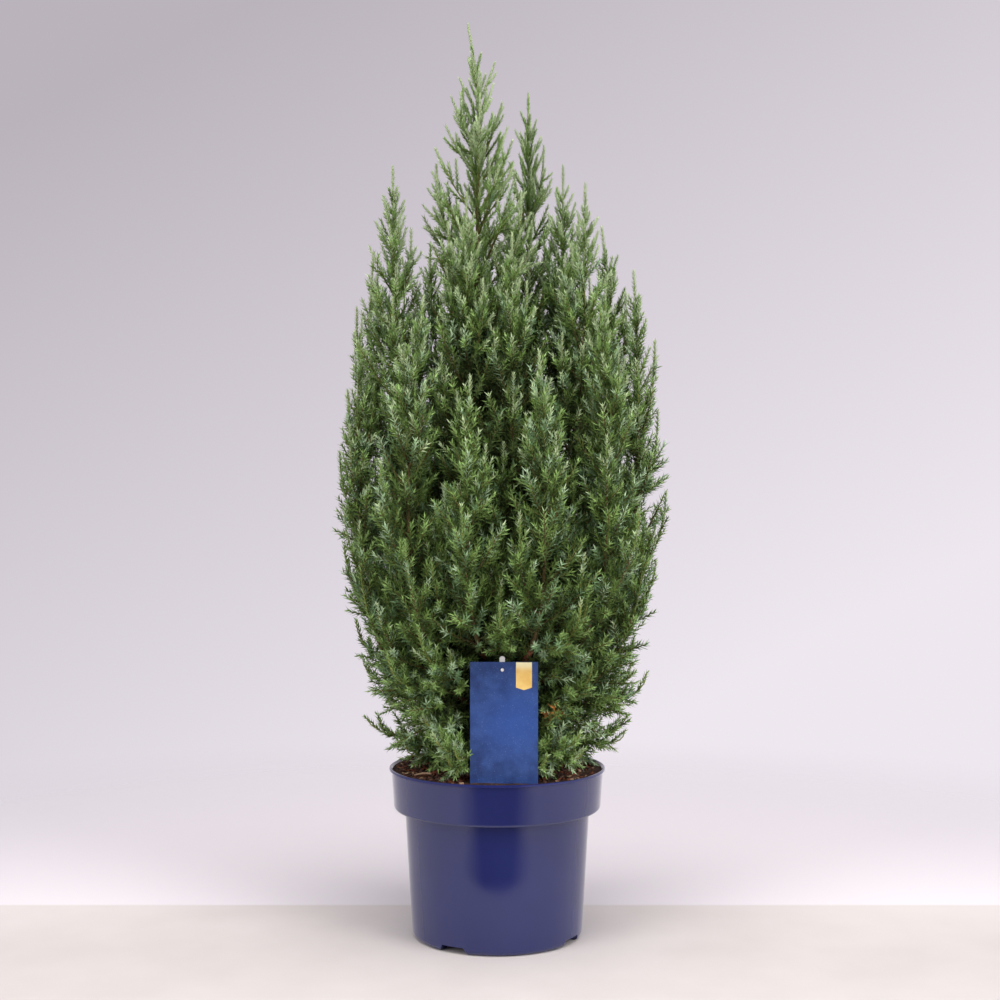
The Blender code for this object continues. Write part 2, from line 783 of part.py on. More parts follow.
def build_mass(plume, index, cells, parts, mat, meshes):
    """One mass: a slim core along its stem, with sprays fused on by a seeded rule."""
    rng = random.Random(100 + index)
    total = run_length(plume.axis)[-1]
    start = mass_start(plume)
    count = max(5, round((total - start) / CORE_SPACING) + 2)
    places = np.insert(np.linspace(start, total, count), 1, start + JOINT_RUN)
    radii = core_radii(plume, index, cells, places)
    core = made_mesh(limb_curve(plume.name, axis_at(plume, places), radii, 1), parts, mat)
    sprays = new_collection(f"{plume.name}_sprays")
    spray_count = round((total - start) / plume.habit.spacing)
    for i in range(spray_count):
        share = (i + 0.6) / spray_count
        place = start + (total - start) * (FIRST_SPRAY + (LAST_SPRAY - FIRST_SPRAY) * share)
        half = np.interp(place, run_length(plume.axis), plume.radius)
        lean = math.radians(LEAN_LOW - (LEAN_LOW - LEAN_TOP) * share)
        turn = i * GOLDEN_ANGLE + rng.uniform(-SPRAY_TURN, SPRAY_TURN)
        direction = side_direction(plume, place, turn, lean)
        if in_shade(plume.kind, axis_at(plume, place), direction):
            continue
        full = half * rng.uniform(*SPRAY_FULLNESS) / math.sin(lean)
        full = min(full, SPRAY_REACH, (total - place) * 1.02)
        add_spray(plume, index, cells, sprays, meshes, place, direction, full, rng)
    add_boolean(core, "UNION", sprays)
    bpy.context.view_layer.update()
    apply_modifiers(core)
    for spray in list(sprays.objects):
        bpy.data.objects.remove(spray, do_unlink=True)
    bpy.data.collections.remove(sprays)
    keep_one_shell(core)


def in_shade(kind, root, direction):
    """True for a shoot deep inside the crown, where few needles live."""
    if kind == "inner" and root[2] < INNER_SHADE_TOP:
        return True
    outermost = kind in ("skirt", "low")
    return not outermost and root[2] < SHADE_TOP and np.dot(root[:2], direction[:2]) < 0


def add_spray(plume, index, cells, sprays, meshes, place, direction, full, rng):
    """Add one spray, shortened to its cell, or none where too little of it would be left."""
    root = axis_at(plume, place)
    twist = rng.uniform(0, math.pi)
    side = np.cross(direction, (0.2, 0.3, 0.93))
    side /= np.linalg.norm(side)
    across = side * math.cos(twist) + np.cross(direction, side) * math.sin(twist)
    for share in SPRAY_CUTS:
        length = full * share
        if cells.clear(index, spray_samples(root, direction, across, length)).all():
            break
    else:
        return
    shape = "broad" if plume.kind in ("skirt", "low") else "slim"
    spray = bpy.data.objects.new(f"{plume.name}_spray", meshes[shape])
    frame = Matrix((direction, across, np.cross(direction, across))).transposed()
    scale = Matrix.Diagonal((length, length, length * SPRAY_THICKNESS))
    spray.matrix_world = Matrix.Translation(Vector(root)) @ (frame @ scale).to_4x4()
    sprays.objects.link(spray)


def keep_one_shell(obj):
    """Keep the largest connected shell, so a sealed hollow fills and a loose scrap goes."""
    work = bmesh.new()
    work.from_mesh(obj.data)
    bmesh.ops.remove_doubles(work, verts=work.verts, dist=0.0000005)
    left = set(work.verts)
    shells = []
    while left:
        shell = {left.pop()}
        edge = list(shell)
        while edge:
            for link in edge.pop().link_edges:
                for vertex in link.verts:
                    if vertex in left:
                        left.remove(vertex)
                        shell.add(vertex)
                        edge.append(vertex)
        shells.append(shell)
    keep = max(shells, key=len)
    loose = [v for v in work.verts if v not in keep]
    bmesh.ops.delete(work, geom=loose, context="VERTS")
    bmesh.ops.triangulate(work, faces=work.faces)
    work.to_mesh(obj.data)
    work.free()


def main():
    clear_scene()
    parts = new_collection("potted_chinese_juniper")
    blue = new_material("pot_blue", (0.020, 0.022, 0.130), 0.25)
    earth = new_material("soil_brown", (0.060, 0.035, 0.025), 0.95)
    card_blue = new_material("card_blue", (0.020, 0.045, 0.190), 0.35)
    white = new_material("stake_white", (0.80, 0.80, 0.78), 0.40)
    bark = new_material("bark", (0.140, 0.065, 0.035), 0.85)
    needles = new_material("needles", (0.045, 0.110, 0.055), 0.60)
    build_pot(parts, blue)
    build_soil(parts, earth)
    build_label(parts, card_blue, white)
    trunk = build_trunk(parts, bark)
    corners = [vertex.co for vertex in trunk.data.vertices]
    trunk_tree = BVHTree.FromPolygons(corners, [face.vertices for face in trunk.data.polygons])
    plumes = all_plumes()
    for plume in plumes:
        if plume.kind != "leader":
            plume.seat = seat_on_trunk(plume, trunk_tree)
    cells = Cells(plumes)
    boughs = [plume for plume in plumes if not plume.from_trunk]
    for number, plume in enumerate(boughs, start=1):
        build_bough(plume, number, parts, bark)
    meshes = {shape: spray_mesh(shape) for shape in ("broad", "slim")}
    for index, plume in enumerate(plumes):
        build_mass(plume, index, cells, parts, needles, meshes)


main()
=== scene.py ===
"""Looks of a Chinese juniper in its blue nursery pot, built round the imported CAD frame.

Metres, +Z up. The origin is the middle of the pot's underside, and the camera looks along +Y.
"""
import json
import logging
import math
from dataclasses import dataclass, field
from enum import Enum
from typing import ClassVar, Sequence

import bpy
import numpy as np
from mathutils import Matrix, Vector, noise

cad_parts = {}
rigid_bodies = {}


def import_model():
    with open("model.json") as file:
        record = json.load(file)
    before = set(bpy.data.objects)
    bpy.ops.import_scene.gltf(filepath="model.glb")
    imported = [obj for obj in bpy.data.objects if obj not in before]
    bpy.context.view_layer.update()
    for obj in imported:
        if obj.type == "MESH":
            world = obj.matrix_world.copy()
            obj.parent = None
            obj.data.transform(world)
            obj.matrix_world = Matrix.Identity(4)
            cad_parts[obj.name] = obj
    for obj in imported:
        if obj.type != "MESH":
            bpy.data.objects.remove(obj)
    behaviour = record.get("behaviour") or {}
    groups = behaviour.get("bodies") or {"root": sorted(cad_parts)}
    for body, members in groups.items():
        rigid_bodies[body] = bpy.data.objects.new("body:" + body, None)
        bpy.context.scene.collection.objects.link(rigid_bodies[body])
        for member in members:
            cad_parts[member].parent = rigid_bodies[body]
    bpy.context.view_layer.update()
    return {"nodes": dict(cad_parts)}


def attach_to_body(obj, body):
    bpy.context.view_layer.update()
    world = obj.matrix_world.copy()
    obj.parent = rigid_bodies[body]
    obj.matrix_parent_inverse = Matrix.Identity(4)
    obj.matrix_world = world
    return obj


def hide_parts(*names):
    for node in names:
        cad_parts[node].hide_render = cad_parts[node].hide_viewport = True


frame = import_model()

LOG = logging.getLogger("juniper")
Pair = tuple[float, float]
Point = tuple[float, float, float]
Colour = tuple[float, float, float]
GOLDEN_ANGLE = math.radians(137.508)
UP = np.array((0.0, 0.0, 1.0))


def srgb(red: float, green: float, blue: float) -> Colour:
    """Turn a screen colour from 0 to 255 into a linear one.

    Args:
        red: The red channel.
        green: The green channel.
        blue: The blue channel.

    Returns:
        The linear colour.
    """
    def linear(channel: float) -> float:
        """One channel on the linear scale."""
        share = channel / 255
        return share / 12.92 if share <= 0.04045 else ((share + 0.055) / 1.055) ** 2.4

    return (linear(red), linear(green), linear(blue))


def unit(vectors: np.ndarray) -> np.ndarray:
    """The same vectors, one metre long."""
    return vectors / np.maximum(np.linalg.norm(vectors, axis=-1, keepdims=True), 1e-9)


def polar(radius: float, bearing: float, z: float) -> np.ndarray:
    """A point by its distance from the pot's axis, its bearing in degrees and its height."""
    turn = math.radians(bearing)
    return np.array((radius * math.cos(turn), radius * math.sin(turn), z))


def bezier(first: np.ndarray, near: np.ndarray, far: np.ndarray, last: np.ndarray, count: int) -> np.ndarray:
    """Points along a cubic curve.

    Args:
        first: Where it starts.
        near: The handle of its start.
        far: The handle of its end.
        last: Where it ends.
        count: How many points.

    Returns:
        One row for each point.
    """
    t = np.linspace(0.0, 1.0, count)[:, None]
    return (1 - t) ** 3 * first + 3 * t * (1 - t) ** 2 * near + 3 * t * t * (1 - t) * far + t ** 3 * last


def off_stem(along: np.ndarray, hint: Point, turn: np.ndarray, lean: np.ndarray) -> np.ndarray:
    """Directions off a stem by a lean, turned about it.

    Args:
        along: The stem's direction at each place.
        hint: Any direction that the stem doesn't take, from which the turn is counted.
        turn: The turn about it in radians.
        lean: The lean off it in radians.

    Returns:
        One direction for each place.
    """
    side = unit(np.cross(along, hint))
    other = np.cross(along, side)
    outward = side * np.cos(turn)[:, None] + other * np.sin(turn)[:, None]
    return along * np.cos(lean)[:, None] + outward * np.sin(lean)[:, None]


class Graph:
    """A node tree that is put together node by node."""

    def __init__(self, tree: bpy.types.NodeTree) -> None:
        """Take up a tree."""
        self.tree = tree

    def put(self, value: object, target: bpy.types.NodeSocket) -> None:
        """Join a socket to an input, or set the input to a value.

        Args:
            value: A socket, a number, a vector or a colour.
            target: The input.
        """
        if isinstance(value, bpy.types.NodeSocket):
            self.tree.links.new(value, target)
        elif target.type == "RGBA":
            target.default_value = (*value, 1)
        else:
            target.default_value = value

    def feed(self, node: bpy.types.Node, **inputs: object) -> bpy.types.Node:
        """Set or join a node's inputs by name, with _ for a space."""
        for name, value in inputs.items():
            self.put(value, node.inputs[name.replace("_", " ")])
        return node

    def node(self, kind: str, **inputs: object) -> bpy.types.Node:
        """Add a node by the end of its type's name, and feed its inputs by name."""
        return self.feed(self.tree.nodes.new(f"ShaderNode{kind}"), **inputs)

    def numbered(self, kind: str, inputs: dict[int, object], **settings: str) -> bpy.types.Node:
        """Add a node whose inputs share their names, and feed them by number.

        Args:
            kind: The end of the node's type.
            inputs: Sockets or values by the input's number.
            **settings: The node's own settings.

        Returns:
            The node.
        """
        node = self.node(kind)
        for name, value in settings.items():
            setattr(node, name, value)
        for number, value in inputs.items():
            self.put(value, node.inputs[number])
        return node

    def math(self, operation: str, *values: object) -> bpy.types.NodeSocket:
        """The result of a Math node."""
        return self.numbered("Math", dict(enumerate(values)), operation=operation).outputs[0]

    def blend(self, share: object, first: object, second: object) -> bpy.types.NodeSocket:
        """A colour between two, by a share."""
        return self.numbered("Mix", {0: share, 6: first, 7: second}, data_type="RGBA").outputs[2]

    def ramp(
        self, value: bpy.types.NodeSocket, span: Pair = (0.0, 1.0), to: Pair = (0.0, 1.0),
        smooth: bool = False,
    ) -> bpy.types.NodeSocket:
        """Carry a value from one span to another.

        Args:
            value: The value.
            span: Where it starts and ends.
            to: What it becomes there.
            smooth: Whether it eases in and out.

        Returns:
            The new value.
        """
        limits = dict(zip(("From_Min", "From_Max", "To_Min", "To_Max"), (*span, *to)))
        node = self.node("MapRange", Value=value, **limits)
        node.interpolation_type = "SMOOTHSTEP" if smooth else "LINEAR"
        return node.outputs["Result"]


class ShaderGraph(Graph):
    """The graph of a Principled material."""

    def __init__(self, name: str) -> None:
        """Start a material with one Principled shader.

        Args:
            name: The material's name.
        """
        self.material = bpy.data.materials.new(name)
        self.material.use_nodes = True
        super().__init__(self.material.node_tree)
        self.shader = self.tree.nodes["Principled BSDF"]
        self.place = self.node("TexCoord").outputs["Object"]

    def group(self, tree: bpy.types.NodeTree, **inputs: object) -> bpy.types.Node:
        """Put in a shared node group and feed its inputs by name."""
        node = self.node("Group")
        node.node_tree = tree
        return self.feed(node, **inputs)


class EffectGraph(Graph):
    """The graph of a shared node group, with its entry and its exit."""

    def __init__(self, name: str, inputs: dict[str, tuple[str, object]], outputs: dict[str, str]) -> None:
        """Make an empty group with its sockets.

        Args:
            name: The group's name.
            inputs: The socket type and default of each input.
            outputs: The socket type of each output.
        """
        super().__init__(bpy.data.node_groups.new(name, "ShaderNodeTree"))
        sockets = self.tree.interface
        for label, (kind, value) in inputs.items():
            socket = sockets.new_socket(label, in_out="INPUT", socket_type=f"NodeSocket{kind}")
            if value is not None:
                socket.default_value = value
        for label, kind in outputs.items():
            sockets.new_socket(label, in_out="OUTPUT", socket_type=f"NodeSocket{kind}")
        self.entry = self.tree.nodes.new("NodeGroupInput").outputs
        self.exit = self.tree.nodes.new("NodeGroupOutput")


class SharedEffects:
    """The node groups that more than one material uses, and the materials, each built once."""

    WHITE = (1.0, 1.0, 1.0, 1.0)
    PATCHES = (0.32, 0.68)

    def __init__(self) -> None:
        """Build the mottle and the relief."""
        self.mottle = self.build_mottle()
        self.relief = self.build_relief()
        self.materials: dict[str, bpy.types.Material] = {}

    def build_mottle(self) -> bpy.types.NodeTree:
        """Two colours in soft patches, with the mask that mixes them."""
        graph = EffectGraph(
            "patchy_colour",
            {
                "Place": ("Vector", None), "Scale": ("Float", 60.0), "Detail": ("Float", 4.0),
                "Dark": ("Color", self.WHITE), "Light": ("Color", self.WHITE),
            },
            {"Colour": "Color", "Mask": "Float"},
        )
        place, scale, detail, dark, light = list(graph.entry)[:5]
        patches = graph.node("TexNoise", Vector=place, Scale=scale, Detail=detail)
        mask = graph.ramp(patches.outputs["Fac"], self.PATCHES)
        graph.feed(graph.exit, Colour=graph.blend(mask, dark, light), Mask=mask)
        return graph.tree

    def build_relief(self) -> bpy.types.NodeTree:
        """A fine uneven height, stretched along Z by its own value."""
        graph = EffectGraph(
            "fine_relief",
            {"Place": ("Vector", None), "Scale": ("Float", 200.0), "Stretch": ("Vector", (1.0, 1.0, 1.0))},
            {"Height": "Float"},
        )
        place, scale, stretch = list(graph.entry)[:3]
        stretched = graph.numbered("VectorMath", {0: place, 1: stretch}, operation="MULTIPLY")
        grain = graph.node("TexNoise", Vector=stretched.outputs["Vector"], Scale=scale, Detail=5.0)
        graph.feed(graph.exit, Height=grain.outputs["Fac"])
        return graph.tree


@dataclass(frozen=True)
class Finish:
    """A patchy, finely uneven surface, which most of the plant's and pot's finishes are."""

    name: str
    dark: Colour
    light: Colour
    roughness: Pair = (0.5, 0.7)
    patch_scale: float = 60.0
    grain_scale: float = 300.0
    grain_stretch: Colour = (1.0, 1.0, 1.0)
    grain_depth: float = 0.0003
    grain_strength: float = 0.3
    specular: float = 0.5

    def colour(self, graph: ShaderGraph, patchy: bpy.types.NodeSocket) -> bpy.types.NodeSocket:
        """The base colour, which a special finish lays its own print over."""
        return patchy

    def material(self, effects: SharedEffects) -> bpy.types.Material:
        """The material, built at its first use.

        Args:
            effects: The shared node groups and materials.

        Returns:
            The material.
        """
        if self.name in effects.materials:
            return effects.materials[self.name]
        graph = ShaderGraph(self.name)
        effects.materials[self.name] = graph.material
        mottle = graph.group(
            effects.mottle, Place=graph.place, Scale=self.patch_scale, Dark=self.dark, Light=self.light
        ).outputs
        relief = graph.group(
            effects.relief, Place=graph.place, Scale=self.grain_scale, Stretch=self.grain_stretch
        ).outputs
        bump = graph.node(
            "Bump", Strength=self.grain_strength, Distance=self.grain_depth, Height=relief["Height"]
        )
        graph.feed(
            graph.shader, Base_Color=self.colour(graph, mottle["Colour"]), Normal=bump.outputs["Normal"],
            Roughness=graph.ramp(mottle["Mask"], to=self.roughness), Specular_IOR_Level=self.specular,
        )
        return graph.material


@dataclass(frozen=True)
class CardFinish(Finish):
    """The label card's print: deep blue, lighter round a centre, with faint pale specks."""

    glow: Colour = (0.02, 0.06, 0.30)
    glow_centre: Point = (0.018, -0.0925, 0.235)
    glow_radius: float = 0.055
    glow_share: float = 0.75
    speck: Colour = (0.35, 0.45, 0.75)
    speck_scale: float = 900.0
    speck_levels: Pair = (0.66, 0.74)
    speck_share: float = 0.16

    def colour(self, graph: ShaderGraph, patchy: bpy.types.NodeSocket) -> bpy.types.NodeSocket:
        """Lay the glow and the specks over the patchy blue.

        Args:
            graph: The material's graph.
            patchy: The patchy blue.

        Returns:
            The base colour.
        """
        away = graph.numbered("VectorMath", {0: graph.place, 1: self.glow_centre}, operation="DISTANCE")
        near = graph.ramp(away.outputs["Value"], (0.0, self.glow_radius), (self.glow_share, 0.0), smooth=True)
        specks = graph.node("TexNoise", Vector=graph.place, Scale=self.speck_scale, Detail=1.0)
        few = graph.ramp(specks.outputs["Fac"], self.speck_levels, (0.0, self.speck_share))
        return graph.blend(few, graph.blend(near, patchy, self.glow), self.speck)


@dataclass(frozen=True)
class FoilFinish(Finish):
    """The pennant's gold print, with a painted highlight that makes it paler along its top."""

    sheen: Colour = (0.9, 0.8, 0.5)
    heights: Pair = (0.2835, 0.2925)

    def colour(self, graph: ShaderGraph, patchy: bpy.types.NodeSocket) -> bpy.types.NodeSocket:
        """The patchy gold with the painted highlight of its pale top laid over it."""
        height = graph.node("SeparateXYZ", Vector=graph.place).outputs["Z"]
        # Painted highlight: the gold turns pale toward the pennant's top.
        return graph.blend(graph.ramp(height, self.heights, smooth=True), patchy, self.sheen)


class Tone(Enum):
    """The needle colours that are dealt out by shoot, by age and by painted light and shade, from DEEP in
    painted shade to FRESH in painted light and young growth.
    """

    DEEP = "deep"
    GREEN = "green"
    BLUE = "blue"
    BRIGHT = "bright"
    PALE = "pale"
    FRESH = "fresh"
    DRY = "dry"


# Painted light and shade: DEEP stands for needles in the crown's shade, BRIGHT, PALE and FRESH partly for
# needles in full light; BLUE and PALE are glaucous shoots, DRY a dry tuft.
NEEDLE_COLOURS = {
    Tone.DEEP: ((67, 83, 48), (88, 106, 62)),
    Tone.GREEN: ((87, 111, 57), (109, 134, 70)),
    Tone.BLUE: ((93, 121, 83), (121, 151, 109)),
    Tone.BRIGHT: ((122, 151, 88), (147, 177, 108)),
    Tone.PALE: ((150, 176, 143), (178, 203, 162)),
    Tone.FRESH: ((156, 174, 134), (182, 200, 154)),
    Tone.DRY: ((122, 78, 40), (168, 112, 58)),
}
NEEDLE_FINISHES = {
    tone: Finish(f"needles_{tone.value}", srgb(*dark), srgb(*light), specular=0.15, grain_strength=0.1)
    for tone, (dark, light) in NEEDLE_COLOURS.items()
}
POT_FINISH = Finish(
    "pot_gloss_blue", srgb(24, 31, 85), srgb(28, 36, 91), (0.10, 0.15), 14.0, 420.0,
    (1.0, 1.0, 0.25), 0.00010, 0.10,
)
SOIL_FINISH = Finish(
    "soil_peat", srgb(42, 32, 29), srgb(88, 66, 56), (0.9, 1.0), 240.0, 700.0, grain_depth=0.002,
    grain_strength=0.9, specular=0.15,
)
CHIP_FINISHES = tuple(
    Finish(name, srgb(*dark), srgb(*light), (0.8, 0.95), 400.0, specular=0.2)
    for name, dark, light in (
        ("chips_dark", (56, 42, 38), (94, 70, 60)),
        ("chips_red", (84, 48, 38), (124, 76, 56)),
        ("chips_pale", (132, 104, 84), (172, 144, 118)),
    )
)
BARK_FINISH = Finish(
    "bark_red_brown", srgb(74, 46, 34), srgb(142, 92, 66), (0.8, 0.95), 260.0, 420.0,
    (1.0, 1.0, 0.18), 0.0015, 0.8, 0.25,
)
TWIG_FINISH = Finish(
    "twigs_brown", srgb(76, 66, 42), srgb(108, 92, 58), (0.7, 0.9), 300.0, 500.0, grain_strength=0.4,
    specular=0.25,
)
SPRIG_FINISH = Finish(
    "stems_yellow_green", srgb(98, 112, 54), srgb(136, 136, 74), (0.6, 0.8), 300.0, specular=0.2,
    grain_strength=0.2,
)
STAKE_FINISH = Finish(
    "stake_white_plastic", srgb(216, 216, 214), srgb(238, 238, 236), (0.35, 0.45), 60.0, 500.0,
    grain_depth=0.0001, grain_strength=0.2,
)
CARD_FINISH = CardFinish(
    "card_blue_print", srgb(37, 57, 107), srgb(51, 78, 136), (0.28, 0.36), 90.0, 600.0, grain_depth=0.00005,
    grain_strength=0.15, glow=srgb(46, 80, 150),
)
FOIL_FINISH = FoilFinish(
    "pennant_gold", srgb(226, 178, 92), srgb(240, 206, 126), (0.35, 0.45), 90.0, 500.0, grain_depth=0.00005,
    grain_strength=0.15, sheen=srgb(255, 244, 196),
)


def deselect_all() -> None:
    """Leave no object selected and no mesh in edit mode."""
    if bpy.context.object and bpy.context.object.mode != "OBJECT":
        bpy.ops.object.mode_set(mode="OBJECT")
    bpy.ops.object.select_all(action="DESELECT")


def pick(obj: bpy.types.Object) -> None:
    """Select one object alone and make it active."""
    deselect_all()
    obj.select_set(True)
    bpy.context.view_layer.objects.active = obj


def named(name: str) -> bpy.types.Object:
    """Name the object that was just added, and its mesh."""
    obj = bpy.context.object
    obj.name = obj.data.name = name
    return obj


def apply_place(obj: bpy.types.Object) -> None:
    """Put an object's place, turn and size into its mesh."""
    pick(obj)
    bpy.ops.object.transform_apply(location=True, rotation=True, scale=True)


def apply_modifiers(obj: bpy.types.Object) -> None:
    """Apply every modifier of an object in order."""
    pick(obj)
    for modifier in list(obj.modifiers):
        bpy.ops.object.modifier_apply(modifier=modifier.name)


def smooth(obj: bpy.types.Object, sharp: float) -> None:
    """Shade an object smooth, but for edges sharper than an angle in degrees."""
    pick(obj)
    bpy.ops.object.shade_smooth_by_angle(angle=math.radians(sharp))


def block(name: str, size: Point, centre: Point) -> bpy.types.Object:
    """A cuboid with its place in its mesh.

    Args:
        name: The object's name.
        size: Its size along each axis.
        centre: Its middle.

    Returns:
        The object.
    """
    deselect_all()
    bpy.ops.mesh.primitive_cube_add(size=1.0, location=centre)
    obj = named(name)
    obj.scale = size
    apply_place(obj)
    return obj


def mesh_from_arrays(name: str, points: np.ndarray, faces: np.ndarray) -> bpy.types.Object:
    """A mesh object from arrays of points and triangles.

    Args:
        name: The object's name.
        points: One row of x, y, z for each vertex.
        faces: One row of three vertex numbers for each triangle.

    Returns:
        The object, linked to the scene.
    """
    mesh = bpy.data.meshes.new(name)
    mesh.vertices.add(len(points))
    mesh.vertices.foreach_set("co", points.astype(np.float32).ravel())
    mesh.loops.add(faces.size)
    mesh.loops.foreach_set("vertex_index", faces.astype(np.int32).ravel())
    mesh.polygons.add(len(faces))
    mesh.polygons.foreach_set("loop_start", np.arange(0, faces.size, 3, dtype=np.int32))
    mesh.update(calc_edges=True)
    obj = bpy.data.objects.new(name, mesh)
    bpy.context.scene.collection.objects.link(obj)
    return obj


def repeated(pattern: np.ndarray, count: int, corners: int) -> np.ndarray:
    """The same triangles for many alike forms in one mesh.

    Args:
        pattern: The triangles of one form.
        count: How many forms there are.
        corners: How many vertices each has.

    Returns:
        All triangles, one row for each.
    """
    return (pattern[None] + corners * np.arange(count)[:, None, None]).reshape(-1, 3)


@dataclass
class Assembly:
    """A sub-assembly, which builds its pieces and dresses them with the shared effects."""

    effects: SharedEffects

    def dress(self, obj: bpy.types.Object, finish: Finish, slot: str, nodes: Sequence[str] = ()) -> None:
        """Give a finished piece its material and its body, and hide the nodes that it replaces.

        Args:
            obj: The piece, with its place in its mesh.
            finish: Its finish.
            slot: The record's material slot; not used.
            nodes: The CAD nodes that it replaces.
        """
        obj.data.materials.clear()
        obj.data.materials.append(finish.material(self.effects))
        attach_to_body(obj, "root")
        if nodes:
            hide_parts(*nodes)
        LOG.info("%s: %d triangles", obj.name, sum(len(face.vertices) - 2 for face in obj.data.polygons))


@dataclass(frozen=True)
class TurnedForm:
    """A round form: rings drawn out from a disc, one after the other."""

    rings: tuple[Pair, ...]
    steps: int = 96

    def build(self, name: str) -> bpy.types.Object:
        """Draw the form out of a filled circle and close its last ring.

        Args:
            name: The object's name.

        Returns:
            The object, at the origin.
        """
        deselect_all()
        radius, z = self.rings[0]
        bpy.ops.mesh.primitive_circle_add(
            vertices=self.steps, radius=radius, fill_type="NGON", location=(0, 0, z)
        )
        obj = named(name)
        apply_place(obj)
        bpy.ops.object.mode_set(mode="EDIT")
        bpy.ops.mesh.select_mode(type="EDGE")
        bpy.ops.mesh.select_all(action="SELECT")
        for next_radius, next_z in self.rings[1:]:
            bpy.ops.mesh.extrude_edges_move(TRANSFORM_OT_translate={"value": (0, 0, next_z - z)})
            share = next_radius / radius
            bpy.ops.transform.resize(value=(share, share, 1), center_override=(0, 0, 0))
            radius, z = next_radius, next_z
        bpy.ops.mesh.edge_face_add()
        bpy.ops.mesh.select_all(action="SELECT")
        bpy.ops.mesh.remove_doubles(threshold=0.000005)
        bpy.ops.mesh.normals_make_consistent(inside=False)
        bpy.ops.object.mode_set(mode="OBJECT")
        return obj


@dataclass
class Pot(Assembly):
    """The moulded pot: its rim band, tapering body, foot ring and drain notches."""

    height: float = 0.175
    lip_radius: float = 0.113
    lip_height: float = 0.0025
    lip_overhang: float = 0.0022
    band_foot_z: float = 0.1325
    band_top_radius: float = 0.1105
    band_foot_radius: float = 0.108
    body_top_radius: float = 0.0965
    base_radius: float = 0.089
    base_corner: float = 0.006
    wall: float = 0.0018
    floor_z: float = 0.008
    foot_ring_width: float = 0.007
    centre_foot_radius: float = 0.020
    notch_count: int = 4
    notch_bearing: float = 59.5
    notch_foot_width: float = 0.0358
    notch_top_width: float = 0.025
    notch_height: float = 0.0072
    fillet: float = 0.0012

    def rings(self) -> tuple[Pair, ...]:
        """The pot's section, from the inside floor over the lip to the underside."""
        step_z = self.band_foot_z + self.wall
        lip_foot = self.height - self.lip_height
        soft = self.fillet
        inside = [
            (self.base_radius - self.wall - self.base_corner / 2, self.floor_z + self.wall),
            (self.base_radius - self.wall, self.floor_z + self.wall + self.base_corner / 2),
            (self.body_top_radius - self.wall, step_z),
            (self.band_foot_radius - self.wall, step_z + self.wall / 2),
            (self.band_top_radius - self.wall, lip_foot),
            (self.lip_radius - self.lip_overhang, self.height - soft / 3),
        ]
        lip = [
            (self.lip_radius - self.lip_overhang + soft / 3, self.height),
            (self.lip_radius - soft / 2, self.height),
            (self.lip_radius - soft / 6, self.height - soft / 4),
            (self.lip_radius, self.height - soft / 1.5),
            (self.lip_radius, lip_foot + soft / 4),
            (self.lip_radius - soft / 3, lip_foot),
            (self.band_top_radius + soft / 4, lip_foot - soft / 4),
            (self.band_top_radius, lip_foot - soft),
        ]
        slope = (self.band_top_radius - self.band_foot_radius) / (lip_foot - self.band_foot_z)
        corner = 2.2 * soft
        band = [
            (self.band_foot_radius + slope * corner, self.band_foot_z + corner),
            (self.band_foot_radius - corner * 0.12, self.band_foot_z + corner * 0.5),
            (self.band_foot_radius - corner * 0.45, self.band_foot_z + corner * 0.12),
            (self.band_foot_radius - corner, self.band_foot_z),
            (self.body_top_radius + soft, self.band_foot_z + soft * 0.1),
            (self.body_top_radius, self.band_foot_z - soft),
        ]
        corner = self.base_corner
        angles = [math.radians(a) for a in (0, -18, -36, -54, -72, -90)]
        centre = self.base_radius - corner
        base = [(centre + corner * math.cos(a), corner + corner * math.sin(a)) for a in angles]
        ring_inner = centre - self.foot_ring_width
        foot = [
            (ring_inner, 0.0),
            (ring_inner, self.floor_z),
            (self.centre_foot_radius + self.wall, self.floor_z),
            (self.centre_foot_radius, 0.0),
        ]
        return tuple(inside + lip + band + base + foot)

    def notch_cutter(self, bearing: float) -> bpy.types.Object:
        """A wedge through the foot ring, narrower at its top.

        Args:
            bearing: The notch's middle, in degrees.

        Returns:
            The cutter.
        """
        inner = self.base_radius - self.base_corner - 2 * self.foot_ring_width
        outer = self.base_radius + self.foot_ring_width
        cutter = block("notch_cutter", (1, 1, 1), (0, 0, 0))
        for vertex in cutter.data.vertices:
            at_top = vertex.co.z > 0
            width = self.notch_top_width if at_top else self.notch_foot_width
            vertex.co = (
                outer if vertex.co.x > 0 else inner,
                math.copysign(width / 2, vertex.co.y),
                self.notch_height if at_top else -self.notch_height / 2,
            )
        cutter.rotation_euler.z = math.radians(bearing)
        apply_place(cutter)
        return cutter

    def build(self) -> None:
        """Turn the pot, cut its notches and dress it."""
        pot = TurnedForm(self.rings(), 128).build("blue_pot")
        cutters = bpy.data.collections.new("notch_cutters")
        for i in range(self.notch_count):
            cutters.objects.link(self.notch_cutter(self.notch_bearing + i * 360 / self.notch_count))
        cut = pot.modifiers.new("Notches", "BOOLEAN")
        cut.operand_type = "COLLECTION"
        cut.collection = cutters
        cut.solver = "EXACT"
        apply_modifiers(pot)
        for cutter in list(cutters.objects):
            bpy.data.objects.remove(cutter, do_unlink=True)
        bpy.data.collections.remove(cutters)
        smooth(pot, 32)
        self.dress(pot, POT_FINISH, "pot_plastic", ("pot",))


